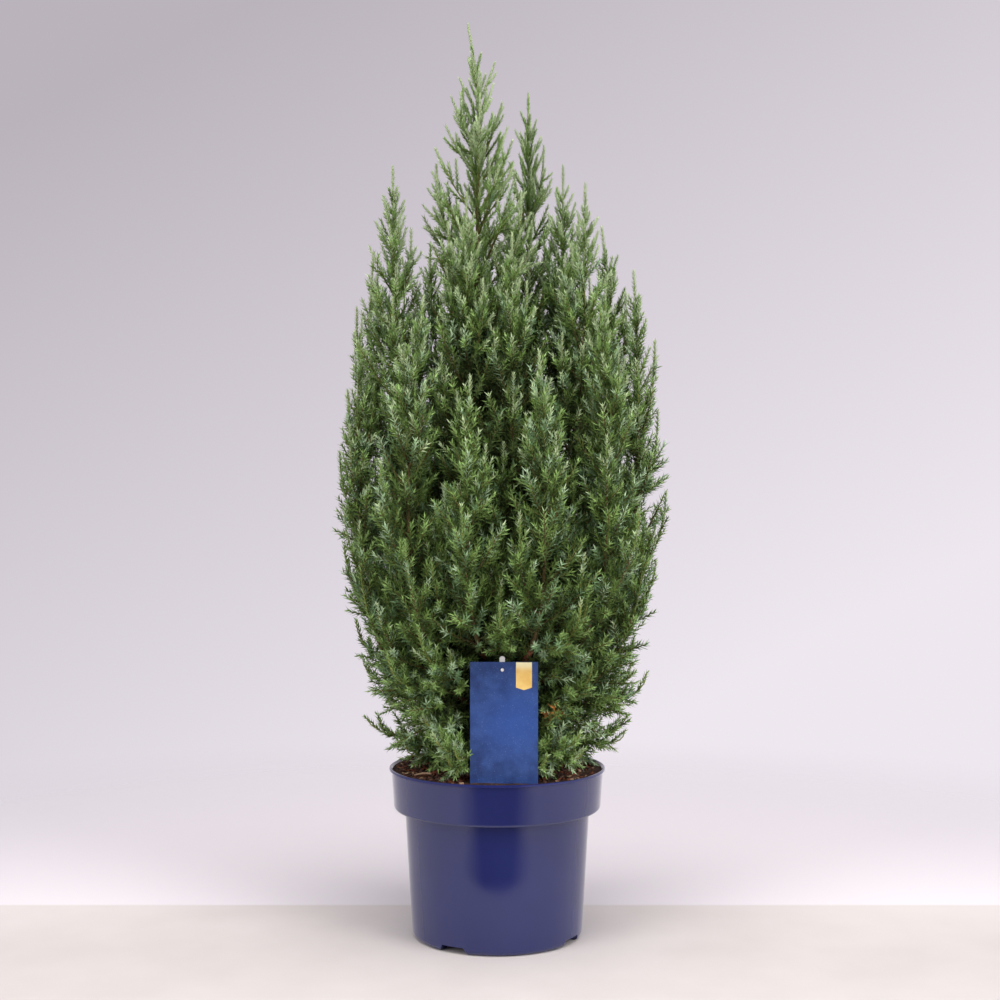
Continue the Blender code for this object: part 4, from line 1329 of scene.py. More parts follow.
@dataclass
class Growth:
    """The rule by which twigs grow from the plumes' stems, and shoots from both."""

    crown: Crown
    twig_spacing: float = 0.0088
    low_spacing: float = 0.0062
    least_twig: float = 0.010
    lean_low: float = 54.0
    lean_top: float = 30.0
    rise_top: float = 0.14
    rise_low: float = 0.27
    twig_reach: float = 0.095
    shoot_spacing: float = 0.0074
    shoot_share: float = 0.50
    shoot_length: Pair = (0.010, 0.029)
    bare_foot: float = 0.10
    spire: Pair = (0.022, 0.010)
    stem_shoot_spacing: float = 0.0042
    bare_stem_tip: float = 0.030
    bare_leader_tip: float = 0.058
    ragged: Pair = (-0.09, 0.045)
    young_from: Pair = (0.84, 0.34)
    tip_depth: float = 0.15
    ripe_by_tip: Pair = (0.45, 0.55)
    twig_lean_noise: float = 3.0
    twig_turn_noise: float = 0.3
    twig_rise_range: Pair = (0.7, 1.2)
    twig_length_range: Pair = (0.88, 1.20)
    crowded_rise: float = 0.6
    crowded_lean: float = 0.20
    still_young: float = 0.3
    cuts: tuple[float, ...] = (0.62, 0.74, 0.87, 1.0)
    draw_up: Pair = (0.15, 0.17)
    shoot_crowding: Pair = (1.8, 0.8)
    shoot_lean: Point = (25, 17, 5)
    shoot_turn_noise: float = 0.25
    shoot_rise: Pair = (0.16, 0.04)
    shoot_length_range: Pair = (0.85, 1.15)
    young_share: float = 0.15
    end_shoot: Pair = (0.040, 0.92)
    stem_lean: Point = (30, 16, 6)
    stem_rise: float = 0.15
    stem_length: Pair = (0.34, 0.029)
    stem_length_range: Pair = (0.8, 1.15)
    stem_kept: float = 0.75
    stem_shade_loss: float = 0.25
    needled_top: float = 0.11
    shade_top: float = 0.58
    core_count: int = 170
    core_heights: Pair = (0.270, 0.640)
    core_length: Pair = (0.050, 0.092)
    core_lean: Pair = (38, 62)
    core_rise: float = 0.30
    core_fade: tuple[float, float, float] = (0.70, 0.12, 0.4)
    seed: int = 7
    rng: np.random.Generator = field(init=False)
    # How far a shaded twig faces inward to be dropped, the chance of it, and whether it is at any height.
    SHADE_LOSS: ClassVar[dict[Kind, tuple[float, float, bool]]] = {
        Kind.LEADER: (-0.25, 0.50, False), Kind.INNER: (-0.20, 0.45, False), Kind.OUTER: (-0.25, 0.50, False),
        Kind.SKIRT: (-0.60, 0.30, True), Kind.LOW: (-0.60, 0.30, True),
    }

    def __post_init__(self) -> None:
        """Seed the growth."""
        self.rng = np.random.default_rng(self.seed)

    def ripeness(self, z: np.ndarray, below_tip: np.ndarray) -> np.ndarray:
        """From 0 for tight young spikes at the tips to 1 for open old shoots low down."""
        by_height = np.clip((self.young_from[0] - z) / self.young_from[1], 0.0, 1.0)
        by_tip = np.clip(below_tip / self.tip_depth, 0.0, 1.0)
        return by_height * (self.ripe_by_tip[0] + self.ripe_by_tip[1] * by_tip)

    def turned(self, along: np.ndarray, turn: np.ndarray, lean: np.ndarray) -> np.ndarray:
        """Directions off a stem by a lean, turned about it."""
        return off_stem(along, (0.31, 0.95, 0.07), turn, lean)

    @staticmethod
    def rising(heading: np.ndarray, rise: np.ndarray) -> np.ndarray:
        """The bend that turns headings upward by their rise."""
        return (UP - heading * (heading @ UP)[:, None]) * rise[:, None]

    def length_to_outline(
        self, plume: Plume, place: np.ndarray, lean: np.ndarray, rise: np.ndarray
    ) -> np.ndarray:
        """How long twigs are whose tips end on the plume's outline.

        Args:
            plume: The plume.
            place: Where each twig leaves the stem.
            lean: Its lean off the stem in radians.
            rise: How far it bends up again.

        Returns:
            One length for each twig.
        """
        across = np.sin(lean) * (1 - rise * np.cos(lean))
        up = np.cos(lean) + rise * np.sin(lean) ** 2
        low, high = np.zeros(len(place)), np.full(len(place), self.twig_reach)
        for _ in range(14):
            trial = (low + high) / 2
            short = trial * across < plume.half_width(place + trial * up)
            low, high = np.where(short, trial, low), np.where(short, high, trial)
        return low

    def twigs_of(self, plume: Plume, index: int) -> Shoots:
        """The twigs on one stem, cut back to the cell of its mass.

        Args:
            plume: The plume or side branch.
            index: The number of the plume whose cell it keeps to.

        Returns:
            The twigs.
        """
        rng = self.rng
        total, start = plume.run[-1], plume.leafy_from
        crowded = plume.kind in (Kind.SKIRT, Kind.LOW)
        count = round((total - start) / (self.low_spacing if crowded else self.twig_spacing))
        share = (np.arange(count) + 0.6) / count
        place = start + (total - start) * share
        open_share = (1 - share) ** 1.1
        widening = (self.lean_low - self.lean_top) * open_share
        lean = np.radians(self.lean_top + widening + rng.normal(0, self.twig_lean_noise, count))
        rise = self.rise_top + (self.rise_low - self.rise_top) * open_share
        rise = rise * rng.uniform(*self.twig_rise_range, count)
        rise *= self.crowded_rise if crowded else 1.0
        lean += self.crowded_lean * open_share if crowded else 0.0
        noise_range = (-self.twig_turn_noise, self.twig_turn_noise)
        turn = np.arange(count) * GOLDEN_ANGLE + rng.uniform(*noise_range, count)
        heading = self.turned(plume.heading(place), turn, lean)
        length = self.length_to_outline(plume, place, lean, rise)
        length = length * rng.uniform(*self.twig_length_range, count)
        root = plume.at(place)
        outward = unit(np.concatenate([root[:, :2] + 1e-6, np.zeros((count, 1))], axis=1))
        facing = np.sum(outward * heading, axis=1)
        twigs = Shoots(
            root, heading, self.rising(heading, rise), length, self.ripeness(root[:, 2], total - place),
            facing, self.crown.sizes.shade_at(root),
        )
        bare = self.bare_leader_tip if plume.name == "leader_foliage" else self.bare_stem_tip
        clear_tip = np.where(self.ripeness(root[:, 2], 0 * place) < self.still_young, bare, 0.0)
        grown = (length > self.least_twig) & (total - place > clear_tip)
        twigs = twigs.take(grown & ~self.in_shade(plume.kind, twigs))
        return self.fitted(twigs, np.full(len(twigs.length), index))

    def core_twigs(self) -> Shoots:
        """The short twigs in the crown's shade, on the trunk between its limbs."""
        rng, count = self.rng, self.core_count
        z = np.linspace(*self.core_heights, count)
        root = self.crown.sizes.trunk_centre(z)
        lean, turn = np.radians(rng.uniform(*self.core_lean, count)), np.arange(count) * GOLDEN_ANGLE
        heading = self.turned(np.tile(UP, (count, 1)), turn, lean)
        top, fade, least = self.core_fade
        length = rng.uniform(*self.core_length, count) * np.clip((top - z) / fade, least, 1.0)
        return Shoots(
            root, heading, self.rising(heading, np.full(count, self.core_rise)), length,
            self.ripeness(z, np.full(count, np.inf)), np.zeros(count), self.crown.sizes.shade_at(root),
        )

    def in_shade(self, kind: Kind, twigs: Shoots) -> np.ndarray:
        """True for twigs deep inside the crown, where few needles live.

        Args:
            kind: The kind of their mass.
            twigs: The twigs.

        Returns:
            One truth value for each twig.
        """
        turned_in, dropped, everywhere = self.SHADE_LOSS[kind]
        shaded = (twigs.root[:, 2] < self.shade_top) | everywhere
        thin = self.rng.uniform(0, 1, len(shaded))
        return shaded & (twigs.lit < turned_in) & (thin < dropped)

    def fitted(self, shoots: Shoots, index: np.ndarray, least: float = 0.5) -> Shoots:
        """Shorten shoots until they lie in their cell, and drop those that can't.

        Args:
            shoots: The shoots.
            index: The plume's number for each.
            least: The shortest share that is kept.

        Returns:
            The shoots that fit.
        """
        share = np.zeros(len(shoots.length))
        spare = self.rng.uniform(*self.ragged, len(share))[:, None]
        for cut in (least, *self.cuts):
            trial = Shoots(**{**vars(shoots), "length": shoots.length * cut})
            path = trial.points(np.array([[0.6, 1.0]]))
            good = self.crown.own_cell(index, path[:, 1]) & self.crown.sizes.clear(path, spare).all(axis=1)
            share = np.where(good, cut, share)
        shoots.length = shoots.length * share
        return shoots.take(share > 0)

    def upright(self, heading: np.ndarray, ripe: np.ndarray) -> np.ndarray:
        """Headings drawn upward, as a juniper's side shoots grow."""
        return unit(heading + UP * (self.draw_up[0] + self.draw_up[1] * ripe)[:, None])

    def shoots_of(self, twigs: Shoots, index: int) -> Shoots:
        """The side shoots and the end shoot of each twig.

        Args:
            twigs: The twigs of one plume.
            index: The plume's number.

        Returns:
            The shoots.
        """
        rng = self.rng
        bare_tip = self.spire[0] + (self.spire[1] - self.spire[0]) * twigs.ripeness
        room = np.maximum(twigs.length * (1 - self.bare_foot) - bare_tip, 0)
        crowding = self.shoot_crowding[0] - self.shoot_crowding[1] * twigs.ripeness
        count = np.ceil(room / (self.shoot_spacing * crowding)).astype(int)
        owner = np.repeat(np.arange(len(count)), count)
        if not len(owner):
            return self.end_shoots(twigs)
        order = np.arange(len(owner)) - np.repeat(np.cumsum(count) - count, count)
        step = (order + rng.uniform(0.2, 0.8, len(owner))) * room[owner] / count[owner]
        parent = twigs.take(owner)
        along_share = self.bare_foot + step / parent.length
        root = parent.points(along_share[:, None])[:, 0]
        along = parent.tangents(along_share[:, None])[:, 0]
        ripe = parent.ripeness
        closed, opening, uneven = self.shoot_lean
        lean = np.radians(closed + opening * ripe + rng.normal(0, uneven, len(owner)))
        first = rng.uniform(0, 2 * math.pi, len(count))[owner]
        turn = order * GOLDEN_ANGLE + first + rng.normal(0, self.shoot_turn_noise, len(owner))
        heading = self.upright(self.turned(along, turn, lean), ripe)
        left = parent.length * (1 - along_share)
        length = np.clip(left * (self.shoot_share + self.young_share * (1 - ripe)), *self.shoot_length)
        length *= rng.uniform(*self.shoot_length_range, len(owner))
        bend = self.rising(heading, self.shoot_rise[0] - self.shoot_rise[1] * ripe)
        side = Shoots(root, heading, bend, length, ripe, along_share, self.crown.sizes.shade_at(root))
        side = self.fitted(side, np.full(len(side.length), index), 0.6)
        return Shoots.joined((side, self.end_shoots(twigs)))

    def end_shoots(self, twigs: Shoots) -> Shoots:
        """The needled end of each twig, as a shoot that follows its path.

        Args:
            twigs: The twigs.

        Returns:
            One shoot for each.
        """
        span = np.minimum(self.end_shoot[0], twigs.length * self.end_shoot[1])
        from_share = 1 - span / twigs.length
        root = twigs.points(from_share[:, None])[:, 0]
        heading = twigs.tangents(from_share[:, None])[:, 0]
        bend = twigs.bend * (span / twigs.length)[:, None]
        shade = self.crown.sizes.shade_at(twigs.points(np.ones((len(span), 1)))[:, 0])
        return Shoots(root, heading, bend, span, twigs.ripeness, np.ones(len(span)), shade)

    def stem_shoots(self, plume: Plume, index: int) -> Shoots:
        """The short shoots that stand on a stem itself and hide it.

        Args:
            plume: The plume or side branch.
            index: The number of the plume whose cell it keeps to.

        Returns:
            The shoots.
        """
        rng = self.rng
        total, start = plume.run[-1], plume.leafy_from * 0.7
        place = np.arange(start, total - self.bare_stem_tip, self.stem_shoot_spacing)
        place = place[(place - start < plume.start) | (rng.uniform(0, 1, len(place)) < self.stem_kept)]
        root, ripe = plume.at(place), self.ripeness(plume.at(place)[:, 2], total - place)
        closed, opening, uneven = self.stem_lean
        lean = np.radians(closed + opening * ripe + rng.normal(0, uneven, len(place)))
        turn = np.arange(len(place)) * GOLDEN_ANGLE + rng.normal(0, self.twig_turn_noise, len(place))
        heading = self.upright(self.turned(plume.heading(place), turn, lean), ripe)
        share, most = self.stem_length
        length = np.minimum((total - place) * share, most) * rng.uniform(*self.stem_length_range, len(place))
        shoots = Shoots(
            root, heading, self.rising(heading, np.full(len(place), self.stem_rise)), length, ripe,
            np.full(len(place), 0.4), self.crown.sizes.shade_at(root),
        )
        thin = rng.uniform(0, 1, len(place)) > self.stem_shade_loss * shoots.shade
        return self.fitted(shoots.take(thin), np.full(int(thin.sum()), index), 0.6)

    def stem_tip(self, plume: Plume) -> Shoots:
        """The needled top of a stem, in short lengths end to end.

        Args:
            plume: The plume or side branch.

        Returns:
            The shoots.
        """
        total = plume.run[-1]
        ends = np.linspace(total - self.needled_top, total, 6)
        root, tip = plume.at(ends[:-1]), plume.at(ends[1:])
        length = np.linalg.norm(tip - root, axis=1)
        ripe = self.ripeness(root[:, 2], total - ends[1:])
        none = np.zeros(5)
        return Shoots(root, unit(tip - root), np.zeros((5, 3)), length, ripe, none + 1, none)


@dataclass
class Needles(Assembly):
    """The needles of all shoots: folded blades in whorls of three, dealt into tones that carry painted light
    and shade.
    """

    whorl_gap: Pair = (0.0021, 0.0031)
    length: Pair = (0.0058, 0.0093)
    width: Pair = (0.0022, 0.0016)
    open_foot: Pair = (36.0, 68.0)
    open_tip: Pair = (17.0, 32.0)
    shaded_gap: float = 0.0034
    shaded_length: float = 0.0085
    shaded_width: float = 0.0026
    widest: float = 0.34
    fold: float = 0.30
    most_in_a_piece: int = 95000
    tone_levels: Point = (0.34, 0.60, 0.86)
    # Lightness of a needle's tone: light_lost deep in the crown's shade and light_outside toward the twigs'
    # ends are painted shade and light; light_when_young is the young growth's own colour.
    light_base: float = 0.29
    light_at_tip: float = 0.38
    light_when_young: float = 0.46
    light_lost: float = 0.50
    light_outside: float = 0.34
    light_middle: float = 0.45
    shoot_noise: float = 0.14
    needle_noise: float = 0.045
    # Painted shade below a height in the crown, darker and flatter in tone, and painted light lifting it
    # again near the foot.
    calm_below: Pair = (0.52, 0.16)
    calm: Pair = (0.03, 0.36)
    foot_below: Pair = (0.28, 0.05)
    foot_light: float = 0.06
    bluish: Point = (0.07, 0.24, 0.3)
    third_turn: float = 2.0944
    half_third: float = 1.0472
    dry_place: Point = (0.0620, -0.0960, 0.2350)
    dry_size: Point = (0.0080, 0.0450, 0.0110)
    seed: int = 19

    @staticmethod
    def between(pair: Pair, share: np.ndarray) -> np.ndarray:
        """The value between a young and an old one."""
        return pair[0] + (pair[1] - pair[0]) * share

    @staticmethod
    def aged(pair: Pair, shaded: float, shoots: Shoots) -> np.ndarray:
        """A size by each shoot's ripeness, and larger and sparser deep in the shade."""
        ripe = Needles.between(pair, shoots.ripeness)
        return ripe + (shaded - ripe) * shoots.shade

    def grow(self, shoots: Shoots) -> tuple[np.ndarray, np.ndarray]:
        """The four corners of every needle, and its tone.

        Args:
            shoots: All shoots.

        Returns:
            Needles by corners by x, y, z, and one tone number for each needle.
        """
        rng = np.random.default_rng(self.seed)
        gap = self.aged(self.whorl_gap, self.shaded_gap, shoots)
        whorls = np.maximum(np.round(shoots.length / gap).astype(int), 3)
        owner = np.repeat(np.arange(len(whorls)), whorls)
        order = np.arange(len(owner)) - np.repeat(np.cumsum(whorls) - whorls, whorls)
        share = (order + 0.5) / whorls[owner]
        owner, order, share = (np.repeat(values, 3) for values in (owner, order, share))
        third = np.tile(np.arange(3), len(owner) // 3)
        set_of = shoots.take(owner)
        ripe = set_of.ripeness
        base = set_of.points(share[:, None])[:, 0]
        along = set_of.tangents(share[:, None])[:, 0]
        turn = third * self.third_turn + order * self.half_third + rng.normal(0, 0.16, len(owner))
        to_tip = share ** 1.8
        at_foot, at_tip = self.between(self.open_foot, ripe), self.between(self.open_tip, ripe)
        spread = at_foot * (1 - to_tip) + at_tip * to_tip
        spread = np.radians(np.maximum(spread + rng.normal(0, 2 + 4 * ripe), 4))
        heading = off_stem(along, (0.13, 0.29, 0.95), turn, spread)
        size = self.aged(self.length, self.shaded_length, set_of) * rng.uniform(0.85, 1.12, len(owner))
        size *= 1.0 - 0.20 * (1 - share) ** 2 - 0.20 * to_tip
        across = unit(np.cross(heading, along))
        inward = np.cross(across, heading)
        half = (self.aged(self.width, self.shaded_width, set_of) / 2)[:, None]
        middle = base + heading * (size * self.widest)[:, None]
        lift = inward * half * 2 * self.fold
        tip = base + (heading + along * 0.10) * size[:, None]
        corners = np.stack([base, middle + across * half + lift, tip, middle - across * half + lift], axis=1)
        return corners, self.tones(rng, share, set_of, owner)

    def tones(
        self, rng: np.random.Generator, share: np.ndarray, set_of: Shoots, owner: np.ndarray
    ) -> np.ndarray:
        """Deal each needle a tone by its shoot, its age and the light it gets, which is painted light and
        shade: darker deep in the crown and low in it, lighter toward the ends of twigs and near the foot.

        Args:
            rng: The random numbers.
            share: The needle's place along its shoot.
            set_of: The shoot of each needle.
            owner: The shoot's number.

        Returns:
            The tone's number for each needle.
        """
        per_shoot = rng.normal(0, self.shoot_noise, owner.max() + 1)[owner]
        ripe = set_of.ripeness
        light = self.light_base + self.light_at_tip * share ** 1.4 + self.light_when_young * (1 - ripe)
        # Painted shade deep in the crown, and painted light toward the ends of the twigs.
        light = light - self.light_lost * set_of.shade + self.light_outside * (set_of.lit - self.light_middle)
        light += per_shoot + rng.normal(0, self.needle_noise, len(share))
        # Painted shade below a height in the crown, darker and flatter in tone, and painted light again near
        # its foot.
        calm, at_foot = (
            np.clip((start - set_of.root[:, 2]) / depth, 0, 1)
            for start, depth in (self.calm_below, self.foot_below)
        )
        darker, nearer = self.calm
        light += self.foot_light * at_foot - calm * (darker + nearer * (light - self.light_middle))
        deep, green, blue, bright, pale, fresh, dry = range(len(Tone))
        names = np.array([deep, green, bright, fresh])[np.digitize(light, self.tone_levels)]
        least, more, from_ripeness = self.bluish
        dealt = rng.uniform(0, 1, owner.max() + 1)[owner]
        bluish = (dealt < least + more * ripe) & (ripe > from_ripeness)
        names = np.where(bluish & (names == green), blue, names)
        names = np.where(bluish & (names == bright), pale, names)
        from_dry = (set_of.root - self.dry_place) / self.dry_size
        return np.where(np.linalg.norm(from_dry, axis=1) < 1.0, dry, names)

    def build(self, shoots: Shoots, nodes: Sequence[str]) -> None:
        """Make the pieces, one tone at a time, and dress them.

        Args:
            shoots: All shoots.
            nodes: The CAD masses that the needles stand for.
        """
        corners, tones = self.grow(shoots)
        LOG.info("%d shoots, %d needles", len(shoots.length), len(tones))
        pattern = np.array(((0, 1, 2), (0, 2, 3)))
        for number, tone in enumerate(Tone):
            chosen = corners[tones == number]
            parts = max(1, math.ceil(len(chosen) / self.most_in_a_piece))
            for part, some in enumerate(np.array_split(chosen, parts), start=1):
                faces = repeated(pattern, len(some), 4)
                piece = mesh_from_arrays(f"needles_{tone.value}_{part}", some.reshape(-1, 3), faces)
                self.dress(piece, NEEDLE_FINISHES[tone], "needles", nodes)


@dataclass
class Wood(Assembly):
    """The trunk and boughs with their bark's relief, and the stems and twigs that go on from them."""

    cuts: int = 3
    ridge: float = 0.00075
    flake: float = 0.0005

    def build_bark(self) -> None:
        """Copy the limbs' solids, refine them and raise long ridges and flakes on them."""
        names = [name for name in frame["nodes"] if name == "trunk" or name.startswith("bough_")]
        deselect_all()
        copies = []
        for name in names:
            copy = frame["nodes"][name].copy()
            copy.data = copy.data.copy()
            copy.name = f"bark_{name}"
            copy.parent = None
            for key in [key for key in copy.keys() if key.startswith("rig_")]:
                del copy[key]
            bpy.context.scene.collection.objects.link(copy)
            copies.append(copy)
        for copy in copies:
            copy.select_set(True)
        bark = copies[names.index("trunk")]
        bpy.context.view_layer.objects.active = bark
        bpy.ops.object.join()
        bark.name = bark.data.name = "bark_limbs"
        bpy.ops.object.mode_set(mode="EDIT")
        bpy.ops.mesh.select_all(action="SELECT")
        bpy.ops.mesh.remove_doubles(threshold=0.00002)
        bpy.ops.mesh.tris_convert_to_quads()
        bpy.ops.mesh.subdivide(number_cuts=self.cuts, smoothness=0.0)
        bpy.ops.object.mode_set(mode="OBJECT")
        self.roughen(bark)
        smooth(bark, 50)
        self.dress(bark, BARK_FINISH, "bark", names)

    def roughen(self, bark: bpy.types.Object) -> None:
        """Move each vertex along its normal by ridges that run up the limb.

        Args:
            bark: The limbs' joined copy.
        """
        normals = [vertex.normal.copy() for vertex in bark.data.vertices]
        for vertex, normal in zip(bark.data.vertices, normals):
            place = vertex.co
            ridge = abs(noise.noise(Vector((place.x * 260, place.y * 260, place.z * 34))))
            flake = noise.noise(Vector((place.x * 420, place.y * 420, place.z * 190)))
            vertex.co += normal * (self.ridge * (ridge - 0.35) + self.flake * flake)

    def build_stems(self, crown: Crown) -> None:
        """The stems inside the masses, brown below and yellow-green near their tips.

        Args:
            crown: The crown with its plumes.
        """
        share = np.linspace(0.0, 1.0, 16)
        old, young = [], []
        for plume, _ in crown.stems():
            side = plume.name not in {mass.name for mass in crown.plumes}
            foot = {Kind.LEADER: 0.0040}.get(plume.kind, plume.habit.bough * 0.70 or 0.0024)
            foot = 0.0014 if side else foot
            places = max(plume.start - 0.0005, 0.0) + (plume.run[-1] - plume.start) * share
            path, radii = plume.at(places), 0.0006 + (foot - 0.0006) * (1 - share) ** 1.5
            old.append((path[:11], radii[:11]))
            young.append((path[10:], radii[10:]))
        for name, finish, parts in (("plume_stems", TWIG_FINISH, old), ("young_stems", SPRIG_FINISH, young)):
            paths, radii = (np.stack(values) for values in zip(*parts))
            self.dress(mesh_from_arrays(name, *Tubes(6).build(paths, radii)), finish, "bark")

    def build_twigs(self, twigs: Shoots) -> None:
        """The twigs, brown where they are old and yellow-green where they are young.

        Args:
            twigs: All twigs.
        """
        shares = np.linspace(0.0, 1.0, 3)[None]
        for name, finish, chosen in (
            ("old_twigs", TWIG_FINISH, twigs.ripeness > 0.35),
            ("young_twigs", SPRIG_FINISH, twigs.ripeness <= 0.35),
        ):
            some = twigs.take(chosen)
            radii = np.interp(shares, (0, 1), (1.0, 0.4)) * (0.0005 + 0.009 * some.length)[:, None]
            self.dress(mesh_from_arrays(name, *Tubes(3).build(some.points(shares), radii)), finish, "bark")

    def build_shoot_stems(self, shoots: Shoots) -> None:
        """The slim stems inside the needled shoots: three-sided spikes with a closed foot.

        Args:
            shoots: All shoots.
        """
        root, tip = (shoots.points(np.full((len(shoots.length), 1), share))[:, 0] for share in (0.0, 0.97))
        along = unit(tip - root)
        side = unit(np.cross(along, (0.31, 0.95, 0.07)))
        other = np.cross(along, side)
        radius = (0.0011 - 0.0004 * shoots.ripeness)[:, None]
        foot = [root + (side * math.cos(a) + other * math.sin(a)) * radius for a in (0.0, 2.0944, 4.1888)]
        points = np.stack([*foot, tip], axis=1).reshape(-1, 3)
        spike = np.array(((0, 1, 3), (1, 2, 3), (2, 0, 3), (0, 2, 1)))
        stems = mesh_from_arrays("shoot_stems", points, repeated(spike, len(root), 4))
        self.dress(stems, SPRIG_FINISH, "bark")


@dataclass
class Plant(Assembly):
    """The juniper: its wood and its needles."""

    sizes: Frame = field(default_factory=Frame)

    def build(self) -> None:
        """Grow the crown and make its pieces."""
        crown = Crown(self.sizes)
        growth = Growth(crown)
        twigs, shoots = [], []
        for plume, index in crown.stems():
            of_plume = growth.twigs_of(plume, index)
            twigs.append(of_plume)
            shoots += [growth.shoots_of(of_plume, index), growth.stem_shoots(plume, index)]
            shoots.append(growth.stem_tip(plume))
        core = growth.core_twigs()
        all_shoots = Shoots.joined([*shoots, growth.shoots_of(core, -1)])
        wood = Wood(self.effects)
        wood.build_bark()
        wood.build_stems(crown)
        wood.build_twigs(Shoots.joined([*twigs, core]))
        wood.build_shoot_stems(all_shoots)
        Needles(self.effects).build(all_shoots, [plume.name for plume in crown.plumes])


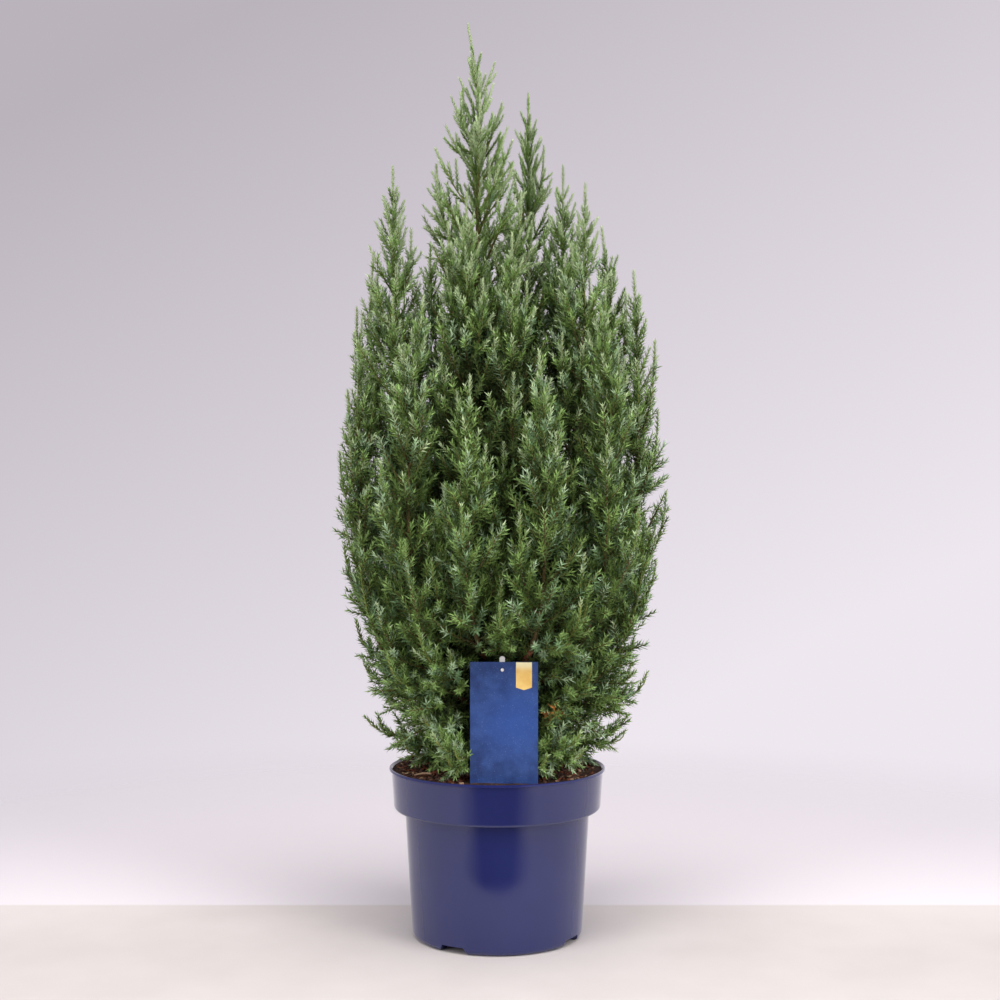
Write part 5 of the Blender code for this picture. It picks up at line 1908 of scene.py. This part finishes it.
@dataclass
class Studio:
    """The pale floor, the soft lights, the pale surroundings and the camera."""

    camera_place: Point = (0.0, -1.577, 0.448)
    lens: float = 54.0
    sensor: float = 36.0
    shift: Pair = (0.0028, 0.006)
    floor_line_y: float = 0.107
    line_softness: float = 0.004
    floor_front: tuple[Colour, Colour] = (srgb(198, 192, 189), srgb(214, 208, 206))
    floor_back: Colour = srgb(232, 227, 231)
    floor_radius: float = 1.4
    floor_solid_radius: float = 0.45
    table_edge_y: float = -0.240
    edge_softness: float = 0.014
    dark_room: Colour = (0.12, 0.11, 0.12)
    table_in_gloss: Colour = (0.86, 0.82, 0.83)
    backdrop: tuple[Colour, Colour] = (srgb(238, 231, 239), srgb(186, 179, 188))
    world_light: float = 0.56
    gap_light: float = 0.30
    side_light: float = 1.30
    gap_edges: Pair = (0.34, 0.50)
    far_side: float = 0.95
    near_share: float = 0.62
    light_colour: Colour = (1.0, 0.985, 0.97)
    light_aim: Point = (0, 0, 0.45)

    def build_camera(self) -> None:
        """The camera where the photograph was taken from, level and square on."""
        data = bpy.data.cameras.new("camera")
        data.lens, data.sensor_width = self.lens, self.sensor
        data.shift_x, data.shift_y = self.shift
        camera = bpy.data.objects.new("camera", data)
        camera.location = self.camera_place
        camera.rotation_euler = (math.radians(90), 0, 0)
        bpy.context.scene.collection.objects.link(camera)
        bpy.context.scene.camera = camera

    def build_floor(self) -> None:
        """A large pale floor, slightly darker and pinker up to a line behind the pot, with painted light that
        grows toward that line, where the lamps reach less.
        """
        deselect_all()
        bpy.ops.mesh.primitive_circle_add(vertices=96, radius=self.floor_radius, fill_type="NGON")
        floor = named("studio_floor")
        graph = ShaderGraph("floor_pale")
        x, y, _ = graph.node("SeparateXYZ", Vector=graph.place).outputs
        marks = graph.node("TexNoise", Vector=graph.place, Scale=9.0, Detail=6.0).outputs["Fac"]
        # Painted light: the front of the floor grows lighter toward the line, against the lamps' fall-off.
        painted_light_to_line = graph.ramp(y, (-0.06, self.floor_line_y - 0.01), (0.96, 1.12))
        front = graph.numbered(
            "VectorMath", {0: graph.blend(marks, *self.floor_front), 3: painted_light_to_line}, operation="SCALE"
        ).outputs["Vector"]
        line = graph.ramp(y, (self.floor_line_y - self.line_softness, self.floor_line_y + self.line_softness))
        own = graph.blend(line, front, self.floor_back)
        away = graph.numbered("VectorMath", {0: graph.place}, operation="LENGTH").outputs["Value"]
        fade = graph.ramp(away, (self.floor_solid_radius, self.floor_radius * 0.97), (1.0, 0.0), smooth=True)
        graph.feed(
            graph.shader, Base_Color=self.seen_by_gloss(graph, x, y, own), Alpha=fade, Roughness=0.7,
            Specular_IOR_Level=0.2,
        )
        floor.data.materials.append(graph.material)

    def seen_by_gloss(
        self, graph: ShaderGraph, x: bpy.types.NodeSocket, y: bpy.types.NodeSocket, own: bpy.types.NodeSocket
    ) -> bpy.types.NodeSocket:
        """Let the gloss see a pale table with a dark room past its front edge.

        Args:
            graph: The floor's graph.
            x: The floor's X coordinate.
            y: The floor's Y coordinate.
            own: The floor's own colour.

        Returns:
            The floor's colour for every ray.
        """
        gloss = graph.node("LightPath").outputs["Is Glossy Ray"]
        before_edge = (self.table_edge_y - self.edge_softness, self.table_edge_y + self.edge_softness)
        past_edge = graph.ramp(y, before_edge, (1.0, 0.0))
        wedge = graph.math("MULTIPLY_ADD", y, 0.5, graph.math("ABSOLUTE", x))
        in_wedge = graph.ramp(wedge, (-0.06, 0.08), (1.0, 0.0))
        dark = graph.math("MULTIPLY", graph.math("MULTIPLY", gloss, in_wedge), past_edge)
        return graph.blend(dark, graph.blend(gloss, own, self.table_in_gloss), self.dark_room)

    def build_lights(self) -> None:
        """Two large soft boxes beside the camera and one overhead."""
        for name, place, size, power in (
            ("left_box", (-1.45, -1.25, 1.1), (1.1, 1.7), 24.0),
            ("right_box", (1.45, -1.25, 1.1), (1.1, 1.7), 28.0),
            ("top_box", (0.1, -0.7, 2.2), (1.6, 1.6), 46.0),
        ):
            data = bpy.data.lights.new(name, "AREA")
            data.shape = "RECTANGLE"
            data.size, data.size_y = size
            data.energy, data.color = power, self.light_colour
            light = bpy.data.objects.new(name, data)
            light.location = place
            aim = Vector(self.light_aim) - Vector(place)
            light.rotation_euler = aim.to_track_quat("-Z", "Y").to_euler()
            light.visible_glossy = False
            bpy.context.scene.collection.objects.link(light)

    def build_world(self) -> None:
        """Pale surroundings: a backdrop for the eye, and bright sides with a dark gap for gloss."""
        world = bpy.data.worlds.new("surroundings")
        bpy.context.scene.world = world
        world.use_nodes = True
        graph = Graph(world.node_tree)
        sight = graph.node("TexCoord").outputs["Generated"]
        x, y, z = graph.node("SeparateXYZ", Vector=sight).outputs
        height = graph.math("ADD", z, graph.math("MULTIPLY", x, -0.55))
        sideways = graph.math("ABSOLUTE", x)
        near_side = graph.ramp(sideways, self.gap_edges, (0.0, self.near_share), smooth=True)
        far_side = graph.ramp(
            sideways, (self.gap_edges[1], self.far_side), (0.0, 1.0 - self.near_share), smooth=True
        )
        behind = graph.ramp(y, (-0.25, 0.05), smooth=True)
        bright = graph.math("MAXIMUM", graph.math("ADD", near_side, far_side), behind)
        gloss = graph.ramp(bright, to=(self.gap_light, self.side_light), smooth=True)
        ray = graph.node("LightPath").outputs
        lit = graph.numbered("Mix", {0: ray["Is Glossy Ray"], 2: self.world_light, 3: gloss}).outputs[0]
        strength = graph.numbered("Mix", {0: ray["Is Camera Ray"], 2: lit, 3: 1.0}).outputs[0]
        colour = graph.blend(graph.ramp(height, (-0.20, 0.40)), *self.backdrop)
        graph.feed(graph.tree.nodes["Background"], Color=colour, Strength=strength)

    def build(self) -> None:
        """Set up the whole studio."""
        bpy.context.scene.view_settings.view_transform = "Standard"
        self.build_camera()
        self.build_floor()
        self.build_lights()
        self.build_world()
        LOG.info("studio: ready")


def main() -> None:
    """Build the sub-assemblies in order."""
    logging.basicConfig(level=logging.INFO, format="%(name)s: %(message)s")
    effects = SharedEffects()
    Studio().build()
    for assembly in (Pot, Soil, Label, Plant):
        assembly(effects).build()


if __name__ == "__main__":
    main()
